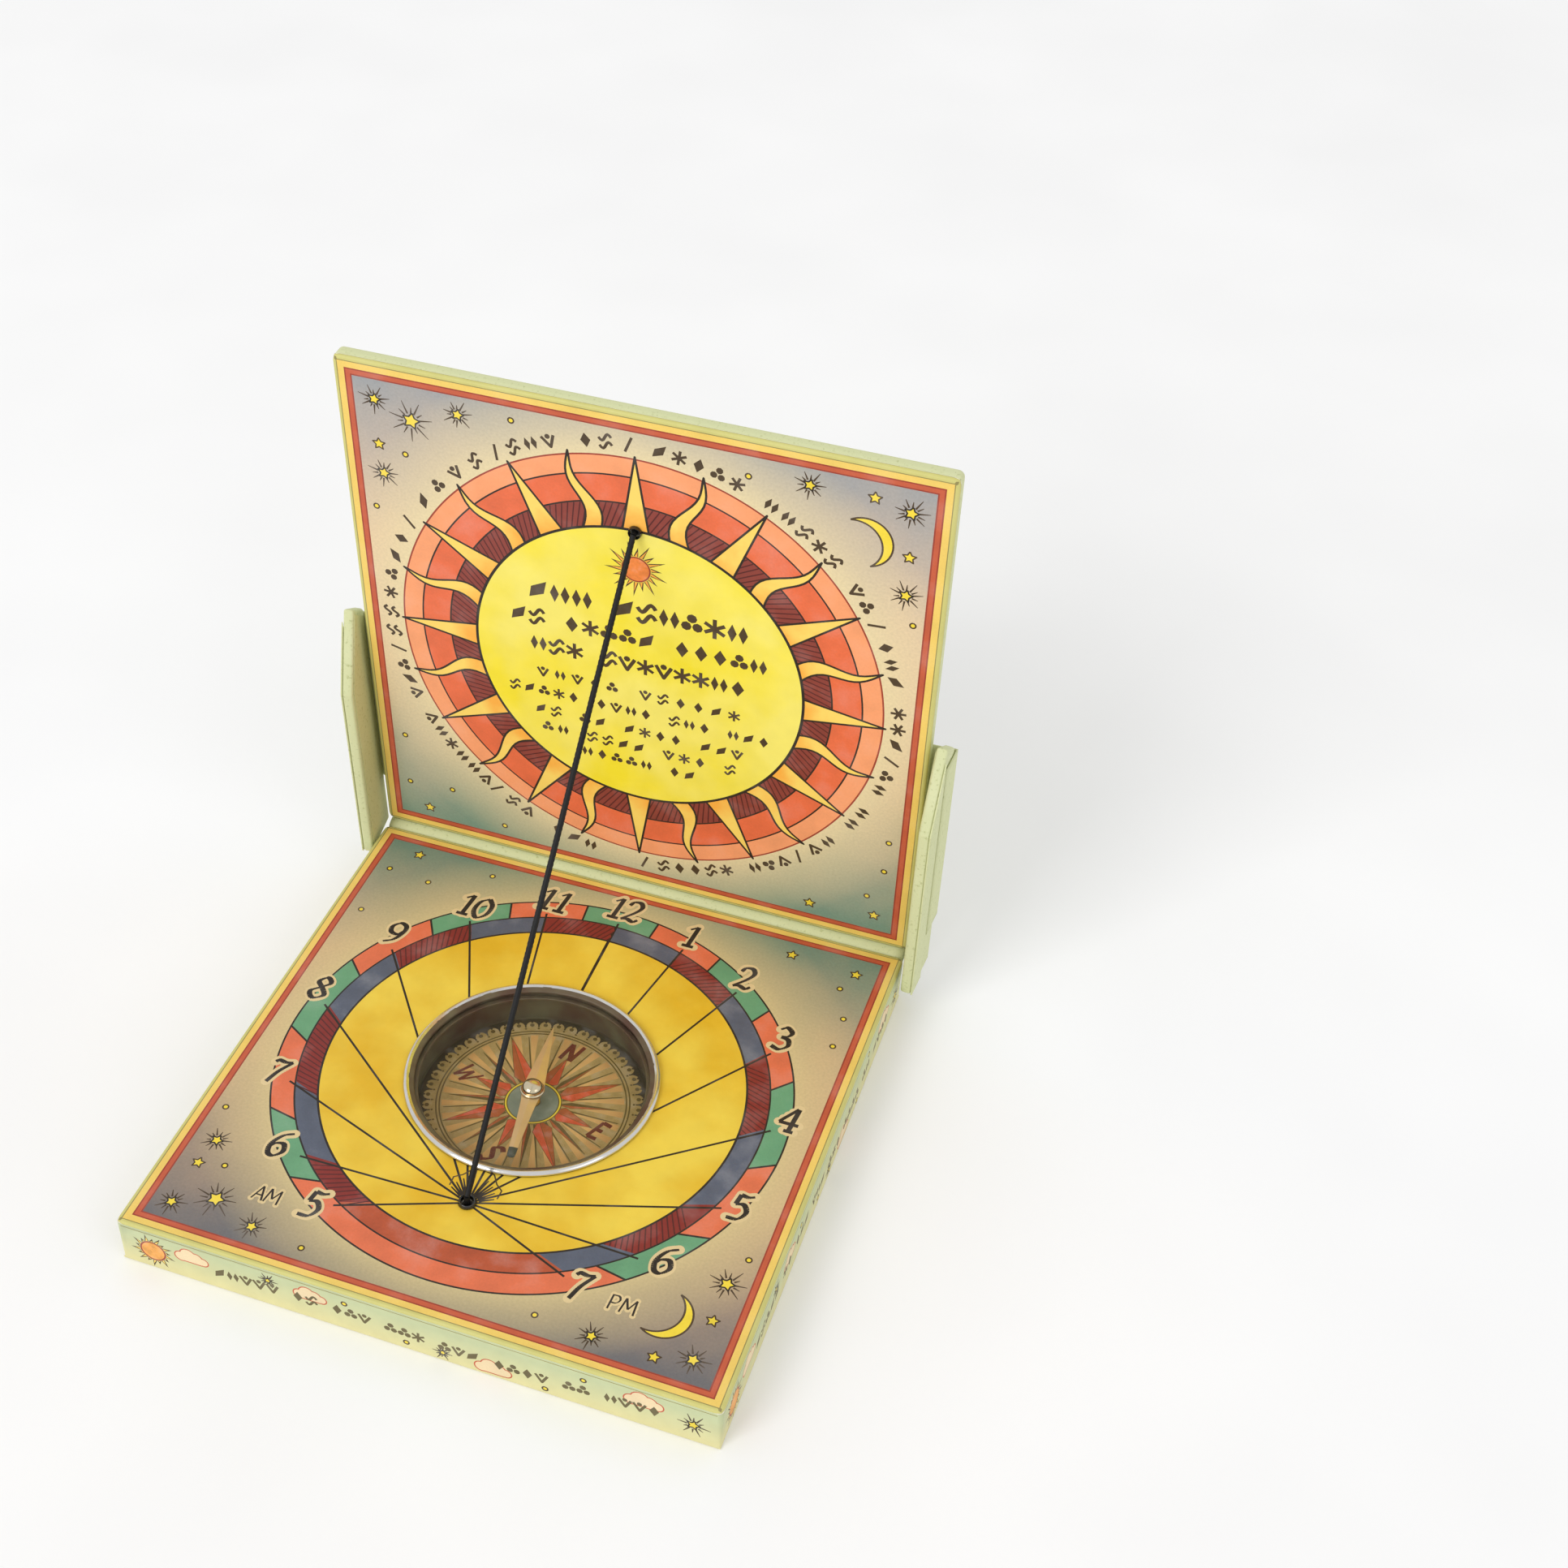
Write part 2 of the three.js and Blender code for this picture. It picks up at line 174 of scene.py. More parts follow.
class Shader:
    """A Principled material, built node by node."""

    def __init__(self, name, colour, roughness, **sockets):
        self.material = bpy.data.materials.new(name)
        self.material.use_nodes = True
        self.material.diffuse_color = colour
        self.tree = self.material.node_tree
        self.surface = self.tree.nodes["Principled BSDF"]
        self.surface.inputs["Base Color"].default_value = colour
        self.surface.inputs["Roughness"].default_value = roughness
        for socket, value in sockets.items():
            self.surface.inputs[socket.replace("_", " ")].default_value = value
        self.place = self.tree.nodes.new("ShaderNodeTexCoord").outputs["Object"]

    def node(self, kind, settings=(), **inputs):
        made = self.tree.nodes.new(kind)
        for key, value in dict(settings).items():
            setattr(made, key, value)
        for key, value in inputs.items():
            self.feed(made.inputs[key.replace("_", " ")], value)
        return made

    def feed(self, socket, value):
        if isinstance(value, bpy.types.NodeSocket):
            self.tree.links.new(value, socket)
        else:
            socket.default_value = value

    def noise(self, size, detail, vector=None):
        """Noise whose blotches are about size millimetres across."""
        return self.node("ShaderNodeTexNoise", Vector=vector or self.place,
                         Scale=1 / (size * MM), Detail=detail).outputs["Fac"]

    def ramp(self, value, *stops):
        """Colours or grey values at places from 0 to 1."""
        made = self.node("ShaderNodeValToRGB", Fac=value)
        points = made.color_ramp.elements
        while len(points) < len(stops):
            points.new(0.5)
        for point, (at, colour) in zip(points, stops):
            point.position = at
            point.color = colour if hasattr(colour, "__len__") else (colour, colour, colour, 1)
        return made.outputs["Color"]

    def mix(self, share, first, second, way="MIX"):
        made = self.tree.nodes.new("ShaderNodeMix")
        made.data_type = "RGBA"
        made.blend_type = way
        for index, value in ((0, share), (6, first), (7, second)):
            self.feed(made.inputs[index], value)
        return made.outputs[2]

    def sums(self, way, *values):
        made = self.node("ShaderNodeMath", {"operation": way})
        for socket, value in zip(made.inputs, values):
            self.feed(socket, value)
        return made.outputs[0]

    def axis(self, name, low, high):
        """The place along one axis as 0 at low and 1 at high, in millimetres."""
        along = self.node("ShaderNodeSeparateXYZ", Vector=self.place).outputs[name]
        return self.between(along, low * MM, high * MM)

    def between(self, value, low, high):
        made = self.node("ShaderNodeMapRange", Value=value, From_Min=low, From_Max=high)
        return made.outputs["Result"]

    def from_middle(self, low, high):
        """The distance from the object's middle as 0 at low and 1 at high, in millimetres."""
        length = self.node("ShaderNodeVectorMath", {"operation": "LENGTH"})
        self.feed(length.inputs[0], self.place)
        return self.between(length.outputs["Value"], low * MM, high * MM)

    def colour(self, value):
        self.feed(self.surface.inputs["Base Color"], value)

    def roughness(self, value):
        self.feed(self.surface.inputs["Roughness"], value)

    def bump(self, height, depth):
        """Relief with the given depth in millimetres."""
        made = self.node("ShaderNodeBump", Height=height, Strength=1.0, Distance=depth * MM)
        self.feed(self.surface.inputs["Normal"], made.outputs["Normal"])


def paper_surface(shader, rough, felt=0.02):
    """Fine fibres and a felt mark in the relief, and a sheen that varies with them."""
    fibres = shader.noise(0.22, 6)
    marks = shader.noise(1.4, 4)
    shader.bump(shader.mix(0.4, fibres, marks), felt)
    shader.roughness(shader.ramp(marks, (0.3, rough - 0.08), (0.7, rough + 0.08)))


def printed(shader, colour, grain, dark, light, rough=0.5):
    """A printed colour on paper, darkened where the grain is low."""
    specks = shader.ramp(grain, dark, (light, 1.0))
    shader.colour(shader.mix(1.0, colour, specks, "MULTIPLY"))
    paper_surface(shader, rough)
    return shader.material


def washed_ink(name, colour, wash, blot=6.0, rough=0.5):
    """Printed watercolour: a wash that pools darker and lighter, over paper grain."""
    shader = Shader(name, colour, rough)
    pools = shader.ramp(shader.noise(blot, 5), (0.3, shade(colour, 1 - wash)), (0.5, colour),
                        (0.72, shade(colour, 1 + wash * 0.6)))
    return printed(shader, pools, shader.noise(0.35, 5), (0.25, 1 - wash * 0.7), 0.75, rough)


def sky_ink(name, low, middle, high, glow):
    """The ground of a panel: three washes up the print and a pale glow round its circle."""
    shader = Shader(name, middle, 0.5)
    height = shader.axis("Y", -HALF, HALF)
    drift = shader.sums("MULTIPLY_ADD", shader.noise(14, 4), 0.22, -0.11)
    wash = shader.ramp(shader.sums("ADD", height, drift), (0.04, low), (0.4, middle),
                       (0.66, middle), (0.98, high))
    near = shader.ramp(shader.from_middle(37, 50), (0.0, 1.0), (0.35, 0.55), (1.0, 0.0))
    return printed(shader, shader.mix(near, wash, glow), shader.noise(0.4, 5), (0.25, 0.86), 0.75)


def ray_ink(name, inner, outer):
    """The sun's rays, orange where they leave the disc and yellow at their tips."""
    shader = Shader(name, outer, 0.5)
    far = shader.sums("ADD", shader.from_middle(24, 36), shader.noise(5, 4))
    far = shader.sums("SUBTRACT", far, 0.5)
    shader.colour(shader.ramp(far, (0.08, inner), (0.5, outer), (1.0, shade(outer, 0.95))))
    paper_surface(shader, 0.5)
    return shader.material


def sun_disc_ink(name, edge, middle):
    """A yellow disc that pales in cloudy patches."""
    shader = Shader(name, edge, 0.5)
    patches = shader.ramp(shader.noise(17, 5), (0.36, edge), (0.62, middle))
    return printed(shader, patches, shader.noise(4, 6), (0.3, 0.93), 0.7)


def band_ink(name, top, bottom):
    """The ground of the side band, greener at the top and creamier at the foot."""
    shader = Shader(name, top, 0.55)
    wash = shader.ramp(shader.axis("Z", BAND_LOW.z, BAND_HIGH.z), (0.1, bottom), (0.8, top))
    return printed(shader, wash, shader.noise(2.5, 6), (0.3, 0.93), 0.7, 0.55)


def wrap_paper(name, colour, worn):
    """Matt covering paper with flecks, faint rubbed patches and a felted surface."""
    shader = Shader(name, colour, 0.68, Specular_IOR_Level=0.35)
    rubbed = shader.ramp(shader.noise(9, 6), (0.55, colour), (0.78, worn))
    flecks = shader.ramp(shader.noise(0.5, 4), (0.28, shade(colour, 0.82)), (0.42, (1, 1, 1, 1)))
    shader.colour(shader.mix(0.5, rubbed, shader.mix(1.0, rubbed, flecks, "MULTIPLY")))
    paper_surface(shader, 0.68, 0.03)
    return shader.material


def grey_board(name, colour):
    """Recycled board: layered edges, fibres and darker specks."""
    shader = Shader(name, colour, 0.95, Specular_IOR_Level=0.2)
    stretched = shader.node("ShaderNodeMapping", Vector=shader.place)
    stretched.inputs["Scale"].default_value = (1, 1, 9)
    layers = shader.noise(1.6, 6, stretched.outputs["Vector"])
    specks = shader.ramp(shader.noise(0.6, 3), (0.3, 0.55), (0.4, 1.0))
    body = shader.ramp(layers, (0.3, shade(colour, 0.75)), (0.7, shade(colour, 1.12)))
    shader.colour(shader.mix(1.0, body, specks, "MULTIPLY"))
    shader.bump(layers, 0.08)
    return shader.material


def polished_metal(name, colour, rough, wear=0.5):
    """Turned and polished metal with fine rings, finger haze and small dull spots."""
    shader = Shader(name, colour, rough, Metallic=1.0)
    haze = shader.noise(3.5, 5)
    scratches = shader.noise(0.12, 3)
    shader.roughness(shader.ramp(haze, (0.35, rough), (0.75, rough + 0.25 * wear)))
    shader.colour(shader.ramp(haze, (0.3, colour), (0.8, shade(colour, 1 - 0.3 * wear))))
    shader.bump(scratches, 0.004 * wear)
    return shader.material


def case_metal(name, dark, olive):
    """The inside of the compass case: dull dark brass with brown and olive patches."""
    shader = Shader(name, olive, 0.5, Metallic=0.15)
    patches = shader.ramp(shader.noise(7, 6), (0.35, dark), (0.62, olive))
    shader.colour(patches)
    shader.roughness(shader.ramp(shader.noise(2, 4), (0.3, 0.4), (0.7, 0.62)))
    shader.bump(shader.noise(0.3, 4), 0.01)
    return shader.material


def aged_card(name, colour, edge):
    """The compass card's paper, browned towards its rim."""
    shader = Shader(name, colour, 0.8)
    browned = shader.ramp(shader.from_middle(6, 18), (0.2, colour), (1.0, edge))
    return printed(shader, browned, shader.noise(3.5, 6), (0.3, 0.8), 0.65, 0.75)


def black_thread(name):
    """Waxed black cord with fibres in its twist."""
    shader = Shader(name, rgb(12, 11, 11), 0.6, Specular_IOR_Level=0.3)
    fibres = shader.noise(0.1, 5)
    shader.colour(shader.ramp(fibres, (0.35, rgb(7, 7, 7)), (0.7, rgb(26, 25, 25))))
    shader.roughness(shader.ramp(fibres, (0.3, 0.38), (0.7, 0.65)))
    shader.bump(fibres, 0.03)
    return shader.material


def black_enamel(name):
    """Glossy enamel with a slight ripple and dulled spots."""
    shader = Shader(name, rgb(12, 12, 13), 0.2, Coat_Weight=0.6, Coat_Roughness=0.08)
    shader.roughness(shader.ramp(shader.noise(0.7, 4), (0.4, 0.16), (0.7, 0.4)))
    shader.bump(shader.noise(0.5, 2), 0.02)
    return shader.material


def clear_glass(name):
    """Thin window glass with a breath of dust."""
    shader = Shader(name, rgb(96, 100, 88), 0.03, Alpha=0.05, IOR=1.5)
    shader.roughness(shader.ramp(shader.noise(4, 5), (0.5, 0.02), (0.85, 0.1)))
    return shader.material


def studio_floor(name):
    """Nearly even white."""
    shader = Shader(name, rgb(250, 250, 250), 0.9, Specular_IOR_Level=0.1)
    cloudy = shader.ramp(shader.noise(60, 2), (0.3, rgb(248, 248, 248)), (0.7, rgb(252, 252, 252)))
    shader.colour(cloudy)
    return shader.material


def make_inks():
    """The printed colours by name. A plain ink gives its colour, wash and size of blots."""
    plain = {
        "margin": ((206, 200, 118), 0.06), "olive": ((150, 140, 80), 0.1),
        "straw": ((244, 208, 104), 0.08), "brick": ((160, 60, 40), 0.12),
        "rust_line": ((202, 92, 58), 0.12), "coral": ((232, 118, 78), 0.14),
        "light_orange": ((252, 164, 112), 0.1), "orange_red": ((238, 112, 68), 0.14),
        "green": ((106, 164, 122), 0.12), "slate": ((92, 100, 118), 0.2),
        "dark_red": ((138, 42, 36), 0.15), "maroon": ((142, 60, 50), 0.12),
        "hatch": ((84, 20, 22), 0.1), "rust": ((190, 86, 50), 0.22),
        "star": ((248, 220, 60), 0.1), "cream": ((226, 202, 150), 0.06),
        "cloud": ((242, 218, 174), 0.08), "sun": ((250, 140, 62), 0.2, 1.5),
        "band_sun": ((252, 176, 84), 0.25, 1.5), "black": ((34, 26, 20), 0.1),
        "sepia": ((74, 56, 34), 0.1), "umber": ((104, 92, 54), 0.1),
        "card_edge": ((70, 58, 38), 0.2, 3.0), "card_lace": ((188, 160, 98), 0.2, 2.0),
        "dart": ((224, 92, 52), 0.2, 2.0), "dart_shade": ((186, 96, 48), 0.2, 2.0),
        "card_line": ((104, 84, 36), 0.1), "card_blue": ((140, 152, 134), 0.15, 2.0),
        "card_letter": ((112, 42, 26), 0.1),
    }
    inks = {name: washed_ink(f"ink_{name}", rgb(*colour), *wash)
            for name, (colour, *wash) in plain.items()}
    return inks | {
        "ground_dial": sky_ink("ground_dial", rgb(112, 110, 112), rgb(212, 178, 138),
                               rgb(114, 144, 126), rgb(222, 202, 146)),
        "ground_lid": sky_ink("ground_lid", rgb(124, 154, 134), rgb(232, 202, 166),
                              rgb(160, 162, 164), rgb(238, 220, 172)),
        "ground_band": band_ink("ground_band", rgb(198, 206, 160), rgb(226, 218, 160)),
        "amber": sun_disc_ink("ink_amber", rgb(230, 184, 32), rgb(243, 213, 76)),
        "lemon": sun_disc_ink("ink_lemon", rgb(250, 230, 44), rgb(250, 236, 112)),
        "ray": ray_ink("ink_ray", rgb(250, 176, 66), rgb(252, 216, 104)),
        "card": aged_card("card_paper", rgb(255, 210, 132), rgb(236, 174, 98)),
        "card_shade": aged_card("card_shade", rgb(232, 188, 116), rgb(206, 150, 84)),
        "paper_back": wrap_paper("paper_back", rgb(232, 226, 208), rgb(240, 236, 222)),
    }


# Mesh helpers

def place_mesh(name, mesh_or_bm, matrix, materials, body=None, replaces=()):
    """Links a mesh drawn in millimetres and gives it its body and the nodes it stands for."""
    if isinstance(mesh_or_bm, bmesh.types.BMesh):
        mesh = bpy.data.meshes.new(name)
        mesh_or_bm.to_mesh(mesh)
        mesh_or_bm.free()
    else:
        mesh = mesh_or_bm
    mesh.transform(Matrix.Scale(MM, 4))
    for material in materials:
        mesh.materials.append(material)
    piece = bpy.data.objects.new(name, mesh)
    piece.matrix_world = matrix
    bpy.context.scene.collection.objects.link(piece)
    if body:
        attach(piece, body)
    if replaces:
        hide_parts(*replaces)
    return piece


def mesh_of(name, bm, angle=35):
    """A smooth mesh with its edges sharp past the angle, in degrees."""
    mesh = bpy.data.meshes.new(name)
    bm.to_mesh(mesh)
    bm.free()
    mesh.shade_smooth()
    mesh.set_sharp_from_angle(angle=math.radians(angle))
    return mesh


def grid_mesh(name, rows, closed_rows=False, closed_columns=False, caps=False):
    """A skin over rows of points."""
    bm = bmesh.new()
    made = [[bm.verts.new(point) for point in row] for row in rows]
    row_pairs = list(zip(made, made[1:])) + ([(made[-1], made[0])] if closed_rows else [])
    for first, second in row_pairs:
        count = len(first)
        for i in range(count if closed_columns else count - 1):
            j = (i + 1) % count
            bm.faces.new((first[i], first[j], second[j], second[i]))
    if caps:
        bm.faces.new(list(reversed(made[0])))
        bm.faces.new(made[-1])
    bmesh.ops.remove_doubles(bm, verts=bm.verts, dist=1e-5)
    bmesh.ops.dissolve_degenerate(bm, edges=bm.edges, dist=1e-6)
    bmesh.ops.recalc_face_normals(bm, faces=bm.faces)
    return mesh_of(name, bm)


def soften(points, radius, closed):
    """The outline with its corners rounded."""
    count = len(points)
    steps = 4
    made = []
    for i, point in enumerate(points):
        here = Vector(point)
        if not closed and i in (0, count - 1):
            made.append(here)
            continue
        before, after = Vector(points[i - 1]) - here, Vector(points[(i + 1) % count]) - here
        cut = min(radius, before.length * 0.45, after.length * 0.45)
        start, end = here + before.normalized() * cut, here + after.normalized() * cut
        for k in range(steps + 1):
            t = k / steps
            made.append(start * (1 - t) ** 2 + here * 2 * t * (1 - t) + end * t ** 2)
    return made


def lathe(name, profile, facets=192, closed=True, corner=0.12, groove=lambda turn: 0):
    """A solid of revolution about Z from [radius, z] points, with softened corners."""
    turns = [math.tau * k / facets for k in range(facets)]
    grooves = [groove(turn) for turn in turns]
    rows = [[((point.x + cut) * math.cos(turn), (point.x + cut) * math.sin(turn), point.y)
             for turn, cut in zip(turns, grooves)] for point in soften(profile, corner, closed)]
    return grid_mesh(name, rows, closed_rows=closed, closed_columns=True)


def spline(points, steps=6):
    """A smooth line through the points."""
    points = [Vector(p) for p in points]
    ends = [points[0] * 2 - points[1], *points, points[-1] * 2 - points[-2]]
    made = []
    for a, b, c, d in zip(ends, ends[1:], ends[2:], ends[3:]):
        for k in range(steps):
            t = k / steps
            made.append(0.5 * (2 * b + (c - a) * t + (2 * a - 5 * b + 4 * c - d) * t ** 2
                               + (3 * b - a - 3 * c + d) * t ** 3))
    return [*made, points[-1]]


def sweep(name, path, section, closed=False):
    """A tube along a path. The section gives its radius from the step and the angle."""
    path = [Vector(p) for p in path]
    count = len(path)
    side = Vector((1, 0, 0)) if abs((path[1] - path[0]).normalized().x) < 0.9 else Vector((0, 1, 0))
    rows = []
    sides = 18
    for i, point in enumerate(path):
        before = path[i - 1] if closed or i else path[0]
        after = path[(i + 1) % count] if closed or i < count - 1 else path[-1]
        along = (after - before).normalized()
        side = (side - along * side.dot(along)).normalized()
        other = along.cross(side)
        row = []
        for k in range(sides):
            turn = math.tau * k / sides
            radius = section(i, turn)
            row.append(point + (side * math.cos(turn) + other * math.sin(turn)) * radius)
        rows.append(row)
    return grid_mesh(name, rows, closed_rows=closed, closed_columns=True, caps=not closed)


def twisted(radius, pitch, step):
    """The section of a three-ply cord, for a path whose points are step apart."""
    def section(i, turn):
        lay = 1.5 * (turn - math.tau * i * step / pitch)
        return radius * (0.86 + 0.14 * abs(math.cos(lay)))
    return section


# Flat art

def arc(radius, start, end, centre=(0, 0), step=3.0):
    """Points on a circle, by clockwise degrees from the top."""
    count = max(2, math.ceil(abs(end - start) / step) + 1)
    turns = [math.radians(start + (end - start) * k / (count - 1)) for k in range(count)]
    return [(centre[0] + radius * math.sin(t), centre[1] + radius * math.cos(t)) for t in turns]


def polar(radius, turn, centre=(0, 0)):
    """The point at a radius, clockwise degrees from the top."""
    way = math.radians(turn)
    return (centre[0] + radius * math.sin(way), centre[1] + radius * math.cos(way))


def ring(radius, centre=(0, 0), facets=180):
    return arc(radius, 0, 360, centre, 360 / facets)[:-1]


def rectangle(first, last, low, high):
    return [(first, low), (last, low), (last, high), (first, high)]


def box_outline(half, corner=0.0):
    """A square, counter-clockwise, with round corners if asked."""
    corners = [(half, -half), (half, half), (-half, half), (-half, -half)]
    if not corner:
        return corners
    made = []
    for quarter, (x, y) in enumerate(corners):
        centre = (x - math.copysign(corner, x), y - math.copysign(corner, y))
        start = math.radians(90 * quarter - 90)
        for k in range(7):
            turn = start + math.pi / 2 * k / 6
            made.append((centre[0] + corner * math.cos(turn), centre[1] + corner * math.sin(turn)))
    return made


class Art:
    """Flat shapes in millimetres, each painted over the ones before it."""

    def __init__(self, inks):
        self.inks = inks
        self.used = []
        self.points = []
        self.shapes = []
        self.paints = []

    def shape(self, points, paint):
        """A simple outline: one that doesn't cross itself."""
        points = [Vector(p[:2]) for p in points]
        points = [p for i, p in enumerate(points) if (p - points[i - 1]).length > 1e-4]
        area = sum(a.x * b.y - b.x * a.y for a, b in zip(points, [*points[1:], points[0]]))
        start = len(self.points)
        self.points.extend(points if area > 0 else reversed(points))
        self.shapes.append(list(range(start, start + len(points))))
        self.paints.append(paint)

    def stroke(self, line, width, paint, closed=False):
        """A line whose width is a number or a function of its direction and share of length."""
        line = [Vector(p[:2]) for p in line]
        line = [p for i, p in enumerate(line) if not i or (p - line[i - 1]).length > 1e-4]
        pairs = list(zip(line, line[1:])) + ([(line[-1], line[0])] if closed else [])
        before = None
        for i, (start, end) in enumerate(pairs):
            along = (end - start).normalized()
            halves = [(width(along, (i + k) / len(pairs)) if callable(width) else width) / 2
                      for k in (0, 1)]
            across = Vector((-along.y, along.x))
            first, second = across * max(halves[0], 0.02), across * max(halves[1], 0.02)
            self.shape([start + first, start - first, end - second, end + second], paint)
            if before and before.dot(along) < 0.985:
                self.shape(ring(max(halves[0], 0.02), start, 8), paint)
            before = along

    def outlined(self, points, paint, edge, width):
        """A filled shape with a drawn line round it."""
        self.shape(points, paint)
        self.stroke(points, width, edge, closed=True)

    def topmost(self, places):
        """The last shape over each of the places, which come in order of x, or -1."""
        top = np.full(len(places), -1)
        for index, corners in enumerate(self.shapes):
            outline = np.array([self.points[i] for i in corners])
            low, high = outline.min(0), outline.max(0)
            first, last = np.searchsorted(places[:, 0], (low[0], high[0]))
            near = first + np.flatnonzero((places[first:last, 1] >= low[1])
                                          & (places[first:last, 1] <= high[1]))
            x, y = places[near].T
            inside = np.zeros(len(near), bool)
            for (ax, ay), (bx, by) in zip(np.roll(outline, 1, 0), outline):
                if ay != by:
                    inside ^= ((ay > y) != (by > y)) & (x < (bx - ax) * (y - ay) / (by - ay) + ax)
            top[near[inside]] = index
        return top

    def build(self):
        """The art as a flat bmesh, one material index for each ink that shows."""
        edges = [pair for shape in self.shapes for pair in zip(shape, [*shape[1:], shape[0]])]
        out = delaunay_2d_cdt(self.points, edges, [], 0, 1e-5, False)
        points = np.array([p[:] for p in out[0]])
        faces = np.array(out[2])
        middles = points[faces].mean(1)
        order = np.argsort(middles[:, 0])
        faces = faces[order]
        tops = self.topmost(middles[order])
        bm = bmesh.new()
        verts = [bm.verts.new((x, y, 0)) for x, y in points]
        for corners, top in zip(faces, tops):
            paint = self.paints[top]
            if top < 0 or paint == "hole":
                continue
            if paint not in self.used:
                self.used.append(paint)
            face = bm.faces.new([verts[i] for i in corners])
            face.material_index = self.used.index(paint)
            if face.normal.z < 0:
                face.normal_flip()
        loose = [v for v in bm.verts if not v.link_faces]
        bmesh.ops.delete(bm, geom=loose, context="VERTS")
        return bm

    def materials(self):
        return [self.inks[name] for name in self.used]


def thicken(piece, thickness, inks=None):
    """Gives a skin the paper's thickness. A print has plain paper behind and on its cut edges."""
    layer = piece.modifiers.new("thickness", "SOLIDIFY")
    layer.thickness = thickness * MM
    layer.offset = -1
    if inks:
        piece.data.materials.append(inks["paper_back"])
        layer.material_offset = 99
        layer.material_offset_rim = 99


# Lettering: a broad nib follows a few points

GLYPHS = {
    "0": [[(0.3, 1), (0.07, 0.76), (0.05, 0.32), (0.28, 0), (0.53, 0.25), (0.53, 0.7), (0.3, 1)]],
    "1": [[(0.1, 0.8), (0.3, 0.98)], [(0.32, 1), (0.32, 0)], [(0.12, 0.02), (0.52, 0.02)]],
    "2": [[(0.06, 0.76), (0.14, 0.96), (0.38, 0.98), (0.5, 0.76), (0.36, 0.44), (0.05, 0.04)],
          [(0.05, 0.04), (0.25, 0.1), (0.48, 0.02), (0.6, 0.16)]],
    "3": [[(0.06, 0.86), (0.24, 1), (0.46, 0.82), (0.38, 0.62), (0.2, 0.55)],
          [(0.2, 0.55), (0.46, 0.48), (0.54, 0.22), (0.32, 0), (0.04, 0.08)]],
    "4": [[(0.4, 1), (0.02, 0.33)], [(0.02, 0.33), (0.64, 0.33)], [(0.43, 1), (0.43, 0)],
          [(0.28, 0.02), (0.58, 0.02)]],
    "5": [[(0.14, 0.97), (0.36, 0.94), (0.54, 1.02)], [(0.14, 0.97), (0.11, 0.58)],
          [(0.11, 0.58), (0.36, 0.62), (0.53, 0.36), (0.38, 0.05), (0.04, 0.02)]],
    "6": [[(0.5, 1), (0.22, 0.82), (0.05, 0.42), (0.14, 0.06), (0.36, 0), (0.54, 0.25),
           (0.42, 0.52), (0.18, 0.48), (0.06, 0.32)]],
    "7": [[(0.04, 0.86), (0.1, 0.97), (0.34, 0.94), (0.56, 1)], [(0.56, 1), (0.32, 0.5), (0.2, 0)]],
    "8": [[(0.3, 0.55), (0.09, 0.76), (0.28, 1), (0.49, 0.8), (0.3, 0.55), (0.05, 0.25),
           (0.28, 0), (0.55, 0.24), (0.3, 0.55)]],
    "9": [[(0.52, 0.68), (0.38, 0.46), (0.12, 0.52), (0.05, 0.78), (0.24, 1), (0.48, 0.9),
           (0.52, 0.6), (0.38, 0.2), (0.1, 0)]],
    "A": [[(0, 0), (0.32, 1)], [(0.32, 1), (0.62, 0)], [(0.12, 0.36), (0.5, 0.36)]],
    "M": [[(0, 0), (0.1, 1)], [(0.1, 1), (0.4, 0.3)], [(0.4, 0.3), (0.7, 1)], [(0.7, 1), (0.8, 0)]],
    "P": [[(0.08, 0), (0.08, 1)], [(0.08, 0.96), (0.42, 0.96), (0.54, 0.72), (0.38, 0.48),
                                   (0.08, 0.46)]],
    "N": [[(0.05, 0), (0.08, 1)], [(0.08, 1), (0.52, 0)], [(0.52, 0), (0.6, 1)]],
    "E": [[(0.1, 1), (0.1, 0)], [(0.1, 0.98), (0.5, 0.95)], [(0.1, 0.52), (0.42, 0.52)],
          [(0.1, 0.02), (0.52, 0.05)]],
    "S": [[(0.5, 0.86), (0.28, 1), (0.08, 0.78), (0.28, 0.54), (0.48, 0.28), (0.28, 0),
           (0.04, 0.12)]],
    "W": [[(0, 1), (0.2, 0)], [(0.2, 0), (0.4, 0.8)], [(0.4, 0.8), (0.6, 0)], [(0.6, 0), (0.8, 1)]],
}
ADVANCE = {"M": 0.98, "W": 0.98, "1": 0.56}
PEN_ANGLE = math.radians(35)


def placed_at(middle, turn):
    """Puts a point drawn about the origin at a place, turned clockwise by degrees."""
    cos, sin = math.cos(math.radians(turn)), math.sin(math.radians(turn))
    return lambda x, y: (middle[0] + x * cos + y * sin, middle[1] - x * sin + y * cos)


def glyph_lines(text, middle, height, slant, turn):
    """The strokes of a short text centred on a point, turned clockwise by degrees."""
    widths = [ADVANCE.get(letter, 0.74) for letter in text]
    left = -sum(widths) / 2 + 0.06
    put = placed_at(middle, turn)
    lines = []
    for letter, advance in zip(text, widths):
        for points in GLYPHS[letter]:
            line = spline(points) if len(points) > 2 else [Vector(p) for p in points]
            lines.append([put((left + p.x + slant * (p.y - 0.5)) * height, (p.y - 0.5) * height)
                          for p in line])
        left += advance
    return lines


def nib(thin, thick):
    """A broad pen's width for the direction that it moves in."""
    held = Vector((math.cos(PEN_ANGLE), math.sin(PEN_ANGLE)))
    return lambda along, share: thin + (thick - thin) * abs(along.x * held.y - along.y * held.x)


